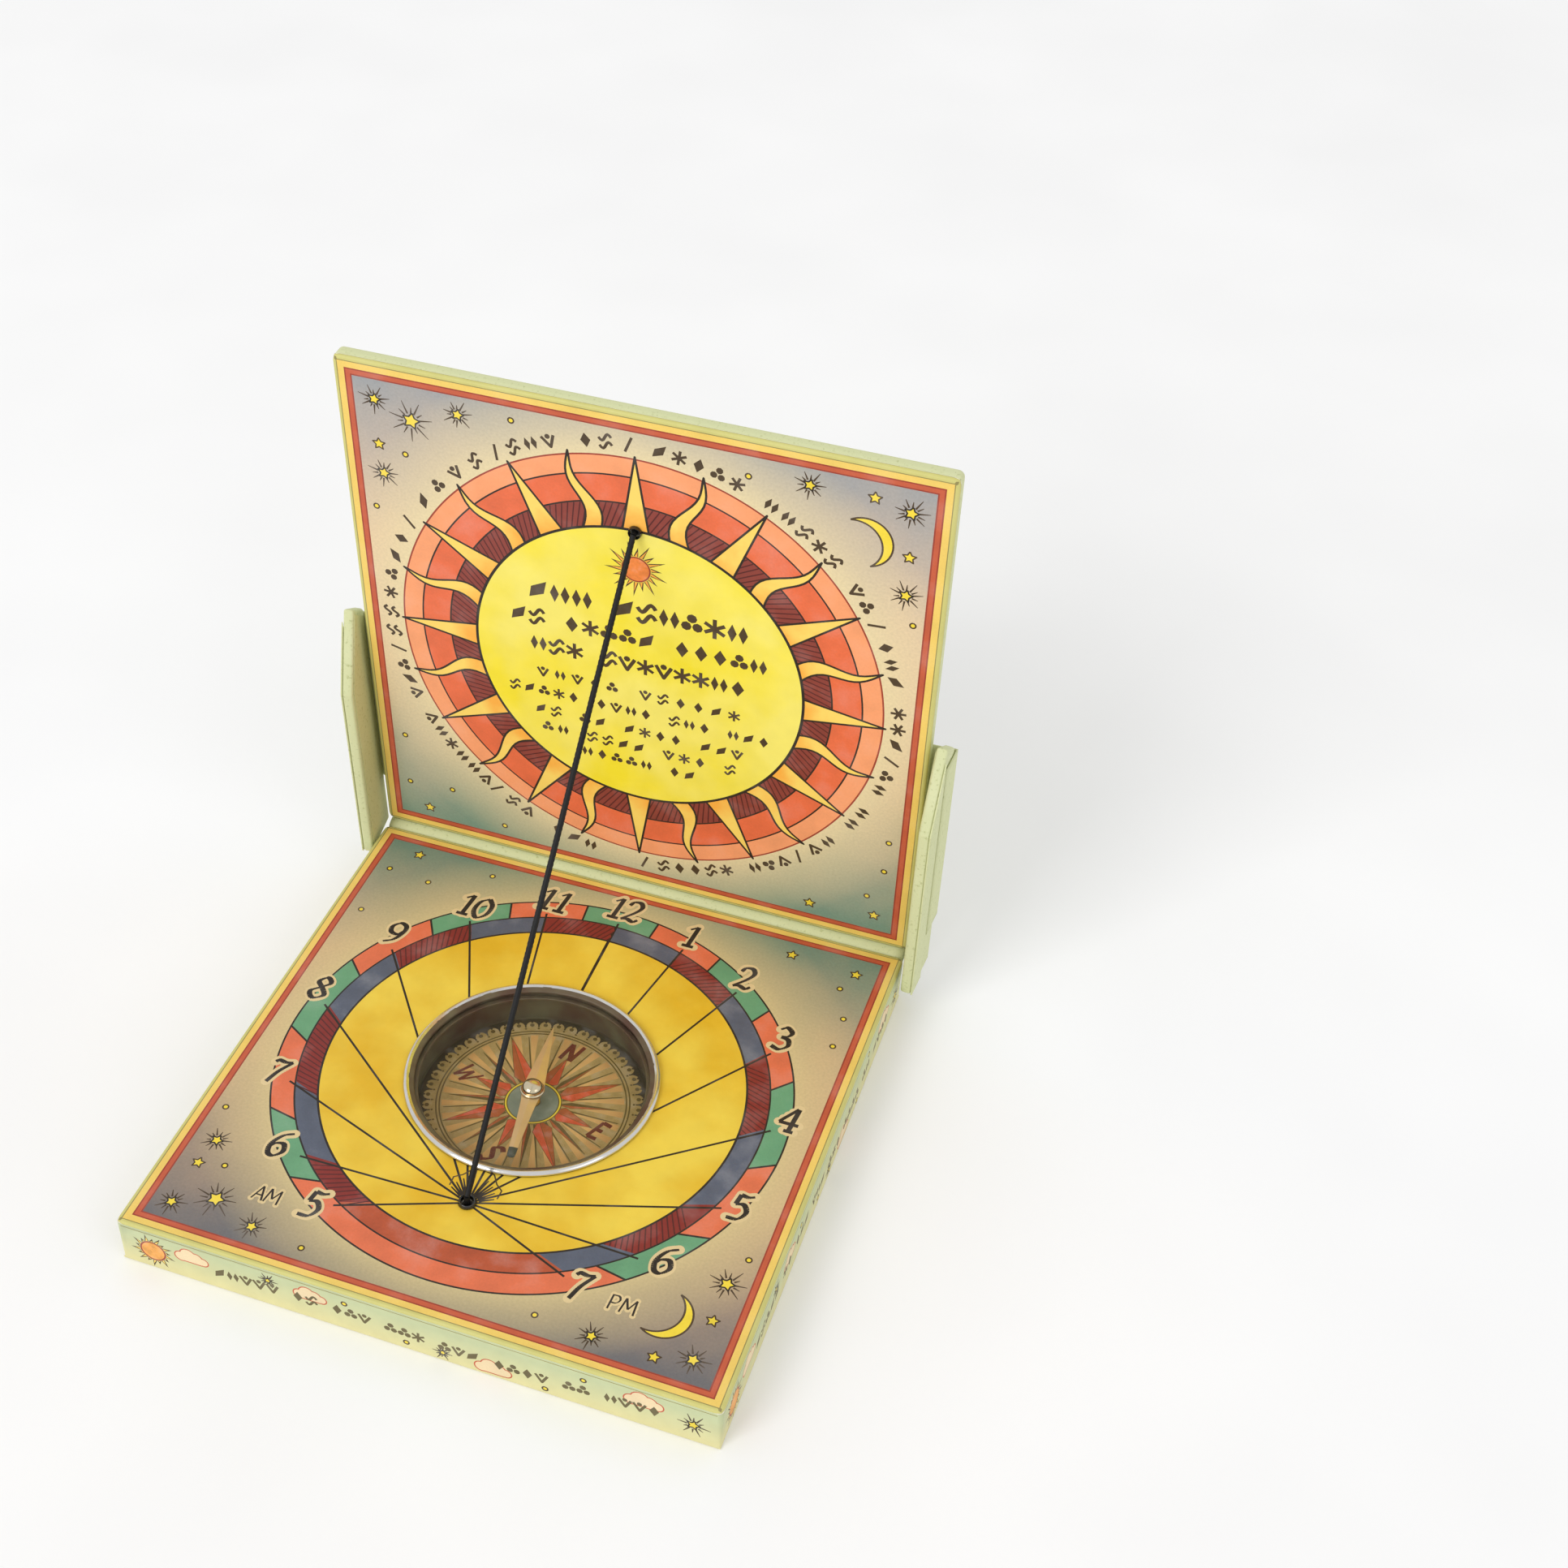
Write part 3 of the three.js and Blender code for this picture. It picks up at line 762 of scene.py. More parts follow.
def lettering(art, text, middle, height, weight, paint="black", halo=0.0, turn=0.0, slant=0.1):
    """A short text, on a pale halo if it has one."""
    lines = glyph_lines(text, middle, height, slant, turn)
    for line in lines if halo else ():
        ends = line if len(line) > 2 else [Vector(line[0]).lerp(Vector(line[1]), k / 4)
                                           for k in range(5)]
        for point in ends:
            art.shape(ring(height * weight / 2 + halo, point, 12), "cream")
    pen = nib(height * weight * 0.38, height * weight)
    for line in lines:
        art.stroke(line, pen, paint)


# Ornaments

def tapered(start, end):
    """A stroke's width from its start to its end."""
    return lambda along, share: start + (end - start) * share


def star_points(middle, radius, waist, turn=0.0):
    """A five-pointed star whose waist is a share of its radius."""
    points = []
    for k in range(10):
        reach = radius * (waist if k % 2 else 1.0)
        angle = math.tau * k / 10 + turn
        points.append((middle[0] + reach * math.sin(angle), middle[1] + reach * math.cos(angle)))
    return points


def star(art, middle, size, seed, spikes=14):
    """A small yellow star with a drawn burst of fine lines round it."""
    chance = random.Random(seed)
    body = size * 0.42
    for k in range(spikes):
        turn = math.tau * (k + 0.3 * chance.random()) / spikes
        reach = size * (1.0 if k % 2 else 0.72) * (0.9 + 0.2 * chance.random())
        way = Vector((math.sin(turn), math.cos(turn)))
        start, end = Vector(middle) + way * body * 0.9, Vector(middle) + way * reach
        art.stroke([start, end], tapered(0.3, 0.1), "sepia")
    art.outlined(star_points(middle, body, 0.55, 0.2), "star", "black", 0.24)


def dot(art, middle, radius):
    art.outlined(ring(radius, middle, 14), "star", "sepia", 0.24)


def crescent(art, middle, radius, lean):
    """A moon whose horns point away from lean, in clockwise degrees."""
    shift, inner_radius = 0.42, 1.02
    horn = math.acos((inner_radius ** 2 - 1 - shift ** 2) / (2 * shift))
    inside = math.acos((math.cos(horn) + shift) / inner_radius)
    horn, inside = math.degrees(horn), math.degrees(inside)
    way = math.radians(lean)
    back = (middle[0] - radius * shift * math.sin(way), middle[1] - radius * shift * math.cos(way))
    outer = arc(radius, lean - horn, lean + horn, middle, 8)
    inner = arc(radius * inner_radius, lean + inside, lean - inside, back, 8)
    art.outlined([*outer, *inner[1:-1]], "star", "sepia", 0.28)


def cloud(art, middle, width):
    """Four puffs on a flat foot, with a line round them."""
    x, y = middle
    foot = y - 0.1 * width
    puffs = [(-0.32, 0.0, 0.17), (-0.1, 0.13, 0.22), (0.14, 0.08, 0.18), (0.34, 0.0, 0.14)]
    for grow, paint in ((0.2, "rust_line"), (0.0, "cloud")):
        for across, up, radius in puffs:
            place = (x + across * width, y + up * width)
            art.shape(ring(radius * width + grow, place, 20), paint)
        thick = 0.05 * width + grow
        art.shape(rectangle(x - 0.3 * width, x + 0.3 * width, foot - thick, foot + thick), paint)


def little_sun(art, middle, radius, reach, paint="sun"):
    """A sun with hand-drawn flames."""
    rays = 18
    for k in range(rays):
        turn = 360 * k / rays
        far = reach * (1.0 if k % 2 else 0.8)
        for flame, share, half in (("sepia", 1.0, 9), ("ray", 0.82, 5)):
            base = radius * 1.1
            art.shape([polar(base, turn - half, middle), polar(far * share, turn + 5, middle),
                       polar(base, turn + half, middle)], flame)
    art.outlined(ring(radius, middle, 40), paint, "brick", 0.26)


def mark_shapes(kind):
    """One small ornament in a unit square, as lists of points and a stroke width or None."""
    if kind == "lozenge":
        return [([(0, 0.5), (0.33, 0), (0, -0.5), (-0.33, 0)], None)]
    if kind == "leaf":
        return [([(-0.4, -0.45), (-0.3, 0.12), (0.4, 0.5), (0.26, -0.16)], None)]
    if kind == "wave":
        line = [(x / 10, 0.22 * math.sin(x * math.pi / 4)) for x in range(-4, 5)]
        return [([(x, y + lift) for x, y in line], 0.19) for lift in (-0.27, 0.27)]
    if kind == "trefoil":
        return [(ring(0.23, polar(0.28, turn), 8), None) for turn in (0, 120, 240)]
    if kind == "step":
        return [([(x, 0.46), (x + 0.2, 0), (x, -0.46), (x - 0.2, 0)], None) for x in (-0.24, 0.24)]
    if kind == "burst":
        return [([polar(0.5, turn), polar(0.5, turn + 180)], 0.18) for turn in (0, 60, 120)]
    return [([(-0.42, 0.34), (0, -0.42), (0.42, 0.34)], 0.2), (ring(0.18, (0, 0.3), 8), None)]


MARKS = ("lozenge", "leaf", "wave", "trefoil", "step", "burst", "bud")


def mark(art, kind, middle, height, turn, paint):
    """One ornament, centred on a point and turned clockwise by degrees."""
    put = placed_at(middle, turn)
    for points, width in mark_shapes(kind):
        moved = [put(x * height, y * height) for x, y in points]
        if width is None:
            art.shape(moved, paint)
        else:
            art.stroke(moved, width * height, paint)


def mark_row(art, along, length, height, groups, seed, paint="sepia"):
    """Groups of ornaments that fill a line. along gives a place and a turn for a distance."""
    chance = random.Random(seed)
    spacing = length / (sum(groups) + 0.9 * (len(groups) - 1))
    at = spacing / 2
    for group in groups:
        for _ in range(group):
            middle, turn = along(at)
            mark(art, chance.choice(MARKS), middle, height, turn, paint)
            at += spacing
        at += spacing * 0.9


def mark_groups(length, pitch, seed):
    """Groups of two to six marks that fill a length at about the given pitch."""
    chance = random.Random(seed)
    groups = []
    room = length / pitch
    while room > 1.5:
        groups.append(min(chance.randint(2, 6), max(1, int(room))))
        room -= groups[-1] + 0.9
    return groups


# The dial's print

RING_OUTER = 38.5
RING_MIDDLE = 35.0
RING_INNER = 31.6
PRINT_HALF = 43.9
CURL = 0.5
BAND_TURN_IN = 3.0
CORNER = 0.7
BAND_STRAIGHT = 2 * HALF - 2 * CORNER
BAND_QUARTER = BAND_STRAIGHT + CORNER * math.pi / 2
NUMERAL_TURNS = (0, 17.3, 35.8, 56.3, 80.5, 107.8, 129.2, 148.2)  # from noon, hour by hour


def cord_slope():
    """The cord's angle above the dial, which is the latitude that the dial is made for."""
    low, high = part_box("gnomon_cord")
    return math.atan2(high.z - low.z, high.y - low.y)


def hour_way(hour):
    """The direction of an hour line from the cord's foot."""
    turn = math.radians(15 * hour)
    way = Vector((math.sin(cord_slope()) * math.sin(turn), math.cos(turn)))
    return way.normalized()


def hour_turn(hour, radius):
    """Where an hour line meets a circle of the dial, in clockwise degrees from noon."""
    foot, way = Vector((0, FOOT.y)), hour_way(hour)
    half = foot.dot(way)
    reach = -half + math.sqrt(half ** 2 - foot.length_squared + radius ** 2)
    point = foot + way * reach
    return math.degrees(math.atan2(point.x, point.y)) % 360


def ring_part(inner, outer, first, last):
    """A part of a ring between two hour lines."""
    starts = [hour_turn(first, radius) for radius in (outer, inner)]
    spans = [(hour_turn(last, radius) - start) % 360
             for radius, start in zip((outer, inner), starts)]
    return [*arc(outer, starts[0], starts[0] + spans[0], step=2),
            *reversed(arc(inner, starts[1], starts[1] + spans[1], step=2))]


def hatching(art, inner, outer, start, end, gap, lean):
    """Fine slanted lines across a ring."""
    count = max(1, round((end - start) / gap))
    for k in range(count):
        turn = start + (end - start) * (k + 0.5) / count
        line = [arc(inner + 0.15, turn, turn + 1)[0], arc(outer - 0.15, turn + lean, turn + lean + 1)[0]]
        art.stroke(line, 0.2, "hatch")


def print_borders(art, ground):
    """The turned-in margin, a straw band and a brick line round the ground."""
    art.shape(box_outline(HALF - CURL, corner=CORNER), "margin")
    for inset, paint in ((0.0, "olive"), (0.14, "straw"), (1.1, "brick"), (1.32, "rust_line"),
                         (1.98, "brick"), (2.2, ground)):
        art.shape(box_outline(PRINT_HALF - inset), paint)


def hour_rings(art):
    """Two rings that change colour at the half hours and at the hours."""
    art.shape(ring(RING_OUTER + 0.16), "black")
    for hour in range(-7, 8):
        paint = "coral" if hour % 2 else "green"
        art.shape(ring_part(RING_MIDDLE, RING_OUTER - 0.12, hour - 0.5, hour + 0.5), paint)
    art.shape(ring_part(RING_MIDDLE, RING_OUTER - 0.12, 7.5, -7.5), "coral")
    art.shape(ring(RING_MIDDLE + 0.16), "black")
    art.shape(ring_part(RING_INNER, RING_MIDDLE - 0.1, 7, -7), "rust")
    for hour in range(-7, 7):
        dark = hour % 2
        art.shape(ring_part(RING_INNER, RING_MIDDLE - 0.1, hour, hour + 1), "dark_red" if dark else "slate")
        if dark:
            start, end = hour_turn(hour, RING_INNER), hour_turn(hour + 1, RING_INNER)
            hatching(art, RING_INNER, RING_MIDDLE, start, start + (end - start) % 360, 1.6, 3.4)
    art.shape(ring(RING_INNER + 0.16), "black")
    art.shape(ring(RING_INNER - 0.16), "amber")


def hour_lines(art):
    """A line for each hour from the cord's foot, and a short one for each half hour."""
    foot = Vector((0, FOOT.y))
    for hour in range(-7, 8):
        end = Vector(polar(RING_MIDDLE + 0.9, hour_turn(hour, RING_MIDDLE)))
        art.stroke([foot, end], 0.34, "black")
    for hour in range(-6, 8):
        ends = [polar(radius, hour_turn(hour - 0.5, radius))
                for radius in (RING_MIDDLE, RING_OUTER)]
        art.stroke(ends, 0.32, "black")


def foot_fan(art):
    """Short rays above the cord's foot, with a drawn edge."""
    foot = (0, FOOT.y)
    edge = []
    for turn in range(-60, 61, 15):
        aside = abs(turn) / 60
        line = [polar(1.6, turn, foot), polar(5.2 - 1.4 * aside, turn, foot)]
        art.stroke(line, tapered(0.36, 0.2), "black")
        edge.append(polar(6.2 - 2.0 * aside + (0.5 if turn % 30 else 0), turn, foot))
    art.stroke(edge, 0.22, "sepia")


def hour_numerals(art):
    for hour in range(-7, 8):
        turn = math.copysign(NUMERAL_TURNS[abs(hour)], hour)
        radius = 39.3 - 1.4 * min(abs(turn) / 110, 1)
        text = str(12 if hour == 0 else hour % 12)
        lettering(art, text, polar(radius, turn), 4.7, 0.18, halo=0.36)
    for text, x in (("AM", -26.7), ("PM", 26.5)):
        lettering(art, text, (x, -33.0), 2.5, 0.13, halo=0.3, slant=0.05)


def corner_stars(art, stars, small, dots, seed):
    """The stars of a panel's corners: burst stars, small ones and dots."""
    for k, (x, y, size) in enumerate(stars):
        star(art, (x, y), size, seed + k)
    for middle in small:
        art.outlined(star_points(middle, 1.0, 0.5), "star", "sepia", 0.22)
    for middle in dots:
        dot(art, middle, 0.42)


def dial_sheet(inks):
    """The printed dial, with its holes for the compass and the cord."""
    art = Art(inks)
    print_borders(art, "ground_dial")
    hour_rings(art)
    hour_lines(art)
    foot_fan(art)
    hour_numerals(art)
    corner_stars(
        art,
        [(-33.2, -36.2, 3.2), (-38.2, -26.6, 2.3), (-38.8, -38.8, 2.3), (-26.3, -38.8, 2.3),
         (38.5, -24.8, 2.7), (38.2, -38, 2.5), (24.3, -39.2, 2.2)],
        [(-36.2, 39.5), (38.5, 38.3), (-38.7, -31.2), (38.6, -31.2), (33.2, -39.4), (27.9, 39)],
        [(-23, 39), (-39.4, 34.8), (-32.2, 34), (-39.6, 24.4), (37, 34.5), (39.3, 28.5),
         (39.4, 22.5), (-40, -20.5), (40, -19.9), (-34.9, -30.4), (-18.2, -39.7), (16, -38.7)],
        seed=10)
    crescent(art, (32.2, -32.4), 3.9, 115)
    art.shape(ring(CASE_RADIUS + 0.3, (COMPASS.x, COMPASS.y)), "hole")
    art.shape(ring(EYELET_BORE, (FOOT.x, FOOT.y), 40), "hole")
    curled_sheet("dial_sheet", art, DIAL_SHEET, "box", "dial_print", inks)


def outline_normal(x, y, half, corner):
    """Outwards from a round-cornered square, at a point on it."""
    inner = half - corner
    dx = abs(x) - inner
    dy = abs(y) - inner
    if dx > 1e-6 and dy > 1e-6:
        way = Vector((dx, dy)).normalized()
    elif dx > dy:
        way = Vector((1, 0))
    else:
        way = Vector((0, 1))
    return Vector((math.copysign(way.x, x), math.copysign(way.y, y), 0))


def extruded(bm, edges):
    """Extrudes a rim of edges. Returns the new rim and its corners."""
    made = bmesh.ops.extrude_edge_only(bm, edges=edges)["geom"]
    rim = [item for item in made if isinstance(item, bmesh.types.BMEdge) and item.is_boundary]
    return rim, [item for item in made if isinstance(item, bmesh.types.BMVert)]


def curl_edge(bm, half, corner, steps):
    """Turns the sheet's outer edge down, step by step: each is (distance out, depth)."""
    edges = [e for e in bm.edges if e.is_boundary
             and max(abs(e.verts[0].co.x), abs(e.verts[0].co.y)) > half - 1.5 * corner]
    places = [vert.co.copy() for edge in edges for vert in edge.verts]
    for out, depth in steps:
        edges, verts = extruded(bm, edges)
        for vert in verts:
            base = min(places, key=lambda p: (p.x - vert.co.x) ** 2 + (p.y - vert.co.y) ** 2)
            vert.co = base + outline_normal(base.x, base.y, half, corner) * out - Vector((0, 0, depth))
    for face in bm.faces:
        face.smooth = abs(face.normal.z) < 0.999


def quarter_turn(radius):
    """A round edge in five steps of (distance out, depth)."""
    turns = [math.pi / 2 * k / 5 for k in range(1, 6)]
    return [(radius * math.sin(turn), radius * (1 - math.cos(turn))) for turn in turns]


def curled_sheet(name, art, matrix, body, node, inks):
    """A printed sheet whose margin turns down over the board's edge."""
    bm = art.build()
    curl_edge(bm, HALF - CURL, CORNER, quarter_turn(CURL))
    piece = place_mesh(name, bm, matrix, art.materials(), body, [node])
    thicken(piece, PAPER, inks)


# The lid's print

SUN_RADIUS = 25.5
RAY_REACH = 38.0
LID_RINGS = ((37.4, "light_orange", "brick"), (34.3, "orange_red", "black"), (29.8, "maroon", "black"))


def straight_ray(turn):
    half = 4.4
    return [polar(SUN_RADIUS, turn - half), polar(RAY_REACH - 0.2, turn), polar(SUN_RADIUS, turn + half)]


def wavy_ray(turn, mirror):
    """A flame with one full wave along it."""
    left, right = [], []
    steps = 14
    for k in range(steps + 1):
        t = k / steps
        radius = SUN_RADIUS + (RAY_REACH - SUN_RADIUS) * t
        sway = 1.15 * math.sin(math.tau * (t * 0.98 + 0.02)) * (0.35 + 0.65 * (1 - t) ** 0.5)
        half = 1.45 * (1 - t) ** 0.8
        for side, edge in ((-1, left), (1, right)):
            offset = mirror * sway + side * half
            edge.append(polar(radius, turn + math.degrees(offset / radius)))
    return [*left, *reversed(right)]


def sun_rings(art):
    """The sun's disc with straight and wavy rays over three rings."""
    for radius, paint, line in LID_RINGS:
        art.shape(ring(radius + 0.14), line)
        art.shape(ring(radius - 0.12), paint)
    hatching(art, SUN_RADIUS, radius, 0, 360, 1.9, 4.0)
    for k in range(24):
        turn = 15 * k
        points = wavy_ray(turn, -1 if turn < 180 else 1) if k % 2 else straight_ray(turn)
        art.outlined(points, "ray", "black", 0.34)
    art.shape(ring(SUN_RADIUS + 0.24), "black")
    art.shape(ring(SUN_RADIUS - 0.2), "lemon")


def ornament_rows(art):
    """Rows of ornaments in the sun's disc: three bold ones and five fine ones."""
    bold = [(11.2, 34, 3.5, (3, 6)), (6.1, 40, 2.9, (2, 5, 5)), (1.1, 34, 2.9, (3, 8))]
    fine = [(y, width, 2.0, mark_groups(width, 2.35, 40 + k))
            for k, (y, width) in enumerate(((-4.3, 33), (-8.1, 42), (-11.8, 34), (-15.2, 32), (-18.4, 19)))]
    for k, (y, width, height, groups) in enumerate([*bold, *fine]):
        mark_row(art, lambda at, y=y, half=width / 2: ((at - half, y), 0.0), width, height, groups, k + 3)


def motto_ring(art):
    """Groups of ornaments round the outer circle, parted by short slanted bars."""
    radius = 39.6
    spans = [(3, 60), (66, 96), (101, 136), (141, 176), (190, 215), (219, 258), (263, 295),
             (302, 326), (331, 356)]
    for k, (start, end) in enumerate(spans):
        length = math.radians(end - start) * radius

        def along(at, start=start):
            turn = start + math.degrees(at / radius)
            return polar(radius, turn), turn
        mark_row(art, along, length, 2.3, mark_groups(length, 2.7, k), 90 + k)
        bar = end + 2.5
        art.stroke([polar(radius - 1.2, bar - 0.6), polar(radius + 1.2, bar + 0.9)], 0.4, "sepia")


def lid_sheet(inks):
    """The printed face of the lid, with its hole for the cord."""
    art = Art(inks)
    print_borders(art, "ground_lid")
    motto_ring(art)
    sun_rings(art)
    little_sun(art, (0, 18.8), 2.1, 4.9)
    ornament_rows(art)
    corner_stars(
        art,
        [(-33.2, 36.1, 3.2), (-38.6, 38.5, 2.3), (-26, 38.7, 2.3), (-38.3, 26.2, 2.4),
         (24.6, 39.1, 2.3), (38.5, 37.9, 2.5), (38.8, 24.4, 2.4)],
        [(-38.6, 31.1), (38.8, 30.8), (38.8, -38.5), (28.4, -39.3), (-36.6, -39.6), (33.5, 39.2)],
        [(-18, 39.6), (-34.6, 30.2), (-40.1, 20), (16.1, 38.5), (40.2, 19.6), (-39.7, -24.6),
         (-39.7, -34.7), (-32.2, -34.3), (-23.3, -39.5), (40, -22.3), (39.7, -28.5), (37.4, -34.6)],
        seed=30)
    crescent(art, (32.6, 31.8), 3.9, 65)
    art.shape(ring(EYELET_BORE, (0, HOLE_UP), 40), "hole")
    curled_sheet("lid_sheet", art, LID_SHEET, "lid", "lid_print", inks)


# The band round the box

def band_point(along, z):
    """A place on the band's outer face, by the distance round the box from its front left corner."""
    quarter, rest = divmod(along, BAND_QUARTER)
    if rest <= BAND_STRAIGHT:
        x, y = rest - BAND_STRAIGHT / 2, -HALF
    else:
        turn = (rest - BAND_STRAIGHT) / CORNER
        x = BAND_STRAIGHT / 2 + CORNER * math.sin(turn)
        y = -HALF + CORNER * (1 - math.cos(turn))
    flat = Matrix.Rotation(math.pi / 2 * quarter, 2) @ Vector((x, y))
    return Vector((flat.x, flat.y, z))


def band_side_art(art, start, seed):
    """One side: a sun, clouds, stars and a wavy row of ornaments."""
    little_sun(art, (start + 4.6, 3.9), 1.9, 3.5, paint="band_sun")
    for x, z, width in ((10.8, 4.9, 5.2), (29.0, 5.0, 5.0), (56.0, 1.7, 5.4), (77.5, 5.2, 5.6)):
        cloud(art, (start + x, z), width)
    for x, z, size in ((22.6, 5.6, 1.5), (48.6, 1.9, 1.5), (84.4, 3.8, 2.3)):
        star(art, (start + x, z), size, seed + round(x), 12)
    for x, z in ((34.2, 5.9), (43.2, 1.6), (69.0, 5.9), (63.5, 1.2)):
        dot(art, (start + x, z), 0.4)

    def along(at):
        return (start + 14 + at, 3.7 + 0.45 * math.sin(at / 9)), -3 * math.cos(at / 9)
    mark_row(art, along, 66, 2.1, (5, 2, 3, 3, 3, 4, 2, 4), seed, "umber")


def draw_band(art, bottom, top):
    """The band's four sides, drawn flat and cut with fine strips where it turns a corner."""
    cuts = 8
    bend = BAND_QUARTER - BAND_STRAIGHT
    for side in range(4):
        start = side * BAND_QUARTER
        places = [start, *(start + BAND_STRAIGHT + bend * k / cuts for k in range(cuts + 1))]
        for first, last in zip(places, places[1:]):
            art.shape(rectangle(first, last, bottom, top), "ground_band")
        art.shape(rectangle(start, start + BAND_STRAIGHT, top - 0.55, top - 0.4), "olive")
        band_side_art(art, start, 7 * side + 1)


def side_band(inks):
    """The printed band: drawn flat, bent round the box and turned in under it."""
    art = Art(inks)
    curl = 0.35
    bottom = BAND_LOW.z + curl
    draw_band(art, bottom, BAND_HIGH.z)
    bm = art.build()
    for vert in bm.verts:
        vert.co = band_point(min(max(vert.co.x, 0.0), 4 * BAND_QUARTER - 1e-6), vert.co.y)
    bmesh.ops.remove_doubles(bm, verts=bm.verts, dist=2e-3)
    edges = [e for e in bm.edges if e.is_boundary and max(v.co.z for v in e.verts) < bottom + 0.01]
    turn_in = [(-curl * (1 - math.cos(turn)), curl * math.sin(turn))
               for turn in (0.4, 0.8, 1.2, math.pi / 2)]
    for out, depth in [*turn_in, (-BAND_TURN_IN, curl)]:
        edges, verts = extruded(bm, edges)
        for vert in verts:
            flat = Vector((vert.co.x, vert.co.y, 0))
            scale = (HALF + out) / max(abs(flat.x), abs(flat.y))
            vert.co = Vector((flat.x * scale, flat.y * scale, bottom - depth))
    bmesh.ops.recalc_face_normals(bm, faces=bm.faces)
    mesh = mesh_of("side_band", bm, 50)
    piece = place_mesh("side_band", mesh, IDENTITY, art.materials(), "box", ["side_wrap"])
    thicken(piece, PAPER, inks)


# The cord, its eyelets and knots

def cord_ends():
    """The middle of the cord at the dial and at the lid, in millimetres."""
    points = [v.co / MM for v in NODES["gnomon_cord"].data.vertices]
    low = min(p.z for p in points)
    high = max(p.z for p in points)
    ends = []
    for level in (low, high):
        near = [p for p in points if abs(p.z - level) < 2.2 * CORD_RADIUS]
        ends.append(sum(near, Vector()) / len(near))
    return ends


def gnomon_cord(thread):
    """A taut three-ply cord from the dial to the lid."""
    start, end = cord_ends()
    count = 360
    path = [start.lerp(end, k / count) for k in range(count + 1)]
    step = (end - start).length / count
    mesh = sweep("gnomon_cord_twisted", path, twisted(CORD_RADIUS, CORD_LAY, step))
    cord = place_mesh("gnomon_cord_twisted", mesh, IDENTITY, [thread], None,
                      ["gnomon_cord"])
    spots = [tuple(p * MM) for p in path[::12]]
    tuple(spots[0])
    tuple(spots[-1])
    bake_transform(cord)
    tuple(spots[0])
    fold_cord(cord)


def set_weights(piece, weight):
    """Works out how far each point would follow the second body, from its place in millimetres; the values
    are not kept.
    """
    values = [weight(v.co / MM) for v in piece.data.vertices]


def fold_cord(cord):
    """Works out each point's share of the turn about the hinge, chosen so that the shut cord would lie in
    the gap; the shares are not kept.
    """
    hinge = Vector(JOINTS["lid_fold"]["pos_m"]) / MM
    full = math.radians(JOINTS["lid_fold"]["range_deg"][1])
    clear = 0.7  # how far in front of the dial the shut cord stays
    rise = 6  # height over which it gets there

    def weight(p):
        back = hinge.y - p.y
        up = p.z - hinge.z
        radius = math.hypot(back, up)
        angle = math.atan2(up, back)
        share = min(1.0, max(0.0, (p.z - DIAL_TOP) / rise))
        rest = clear / radius * share + min(angle, 0.0) * (1 - share)
        return min(1.0, max(0.0, (angle - rest) / full))
    set_weights(cord, weight)


def knot_line(radius, height):
    """An overhand knot drawn as a flattened trefoil round Z, from z = 0 up."""
    line = []
    for k in range(90):
        t = math.tau * k / 90
        wide = (2 + math.cos(3 * t)) / 3 * radius
        line.append((wide * math.cos(2 * t), wide * math.sin(2 * t),
                     height * (0.5 + 0.5 * math.sin(3 * t))))
    return line


def knot(name, place, body, node, lean, thread):
    """A knot behind a hole, and the cord's tail that comes up through it to meet the free cord."""
    strand = 0.3
    sunk = strand + 0.35
    line = [(x, y, z - sunk) for x, y, z in knot_line(EYELET_RADIUS - 0.2 - strand, 0.32)]
    mesh = sweep(name, line, twisted(strand, 1.4, 0.15), closed=True)
    place_mesh(name, mesh, place, [thread], body, [node])
    tail = spline([(0, 0, -0.3), (0, 0, lean.z * 0.5), (0, 0, lean.z - 0.9), lean], 14)
    step = (Vector(tail[1]) - Vector(tail[0])).length
    mesh = sweep(f"{name}_tail", tail, twisted(CORD_RADIUS, CORD_LAY, step))
    place_mesh(f"{name}_tail", mesh, place, [thread], body)


def eyelet_ring(node, body, place, outer, height, enamel):
    """A rolled ring that stands on the face, with its foot in the hole."""
    wide = outer - EYELET_BORE
    profile = [(EYELET_BORE, -0.4), (EYELET_BORE + 0.2 * wide, height * 0.8),
               (EYELET_BORE + 0.55 * wide, height), (outer - 0.25 * wide, height * 0.6), (outer, 0),
               (outer - 0.5 * wide, 0), (EYELET_BORE + 0.3 * wide, -0.4)]
    mesh = lathe(f"{node}_ring", profile, 64, corner=0.25 * wide)
    place_mesh(f"{node}_ring", mesh, place, [enamel], body, [node])


def cord_fixings(thread, enamel):
    """The eyelets on both faces, and the knots and tails behind them."""
    start, end = cord_ends()
    low, high = local_box("foot_eyelet", IDENTITY)
    place = Matrix.Translation(Vector((FOOT.x, FOOT.y, low.z)) * MM)
    eyelet_ring("foot_eyelet", "box", place, high.x, high.z - low.z, enamel)
    low, high = local_box("lid_eyelet", LID)
    place = lid_place(LID_HOLE.x, high.y, LID_HOLE.z)
    eyelet_ring("lid_eyelet", "lid", place, high.x, high.y - low.y, enamel)

    under = Vector((FOOT.x, FOOT.y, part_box("foot_knot")[1].z / MM))
    place = Matrix.Translation(under * MM)
    knot("foot_knot_tied", place, "box", "foot_knot", start - under, thread)
    place = lid_place(0, local_box("lid_knot", LID)[0].y, LID_HOLE.z)
    knot("lid_knot_tied", place, "lid", "lid_knot", place.inverted() @ (end * MM) / MM, thread)


# Wrapped boards

def back_matrix():
    """The lid's back as a sheet: Y up the lid and Z out of its back."""
    columns = Matrix(((-1, 0, 0), (0, 0, 1), (0, 1, 0))).transposed().to_4x4()
    return LID @ Matrix.Translation((0, LID_BACK * MM, LID_MIDDLE * MM)) @ columns


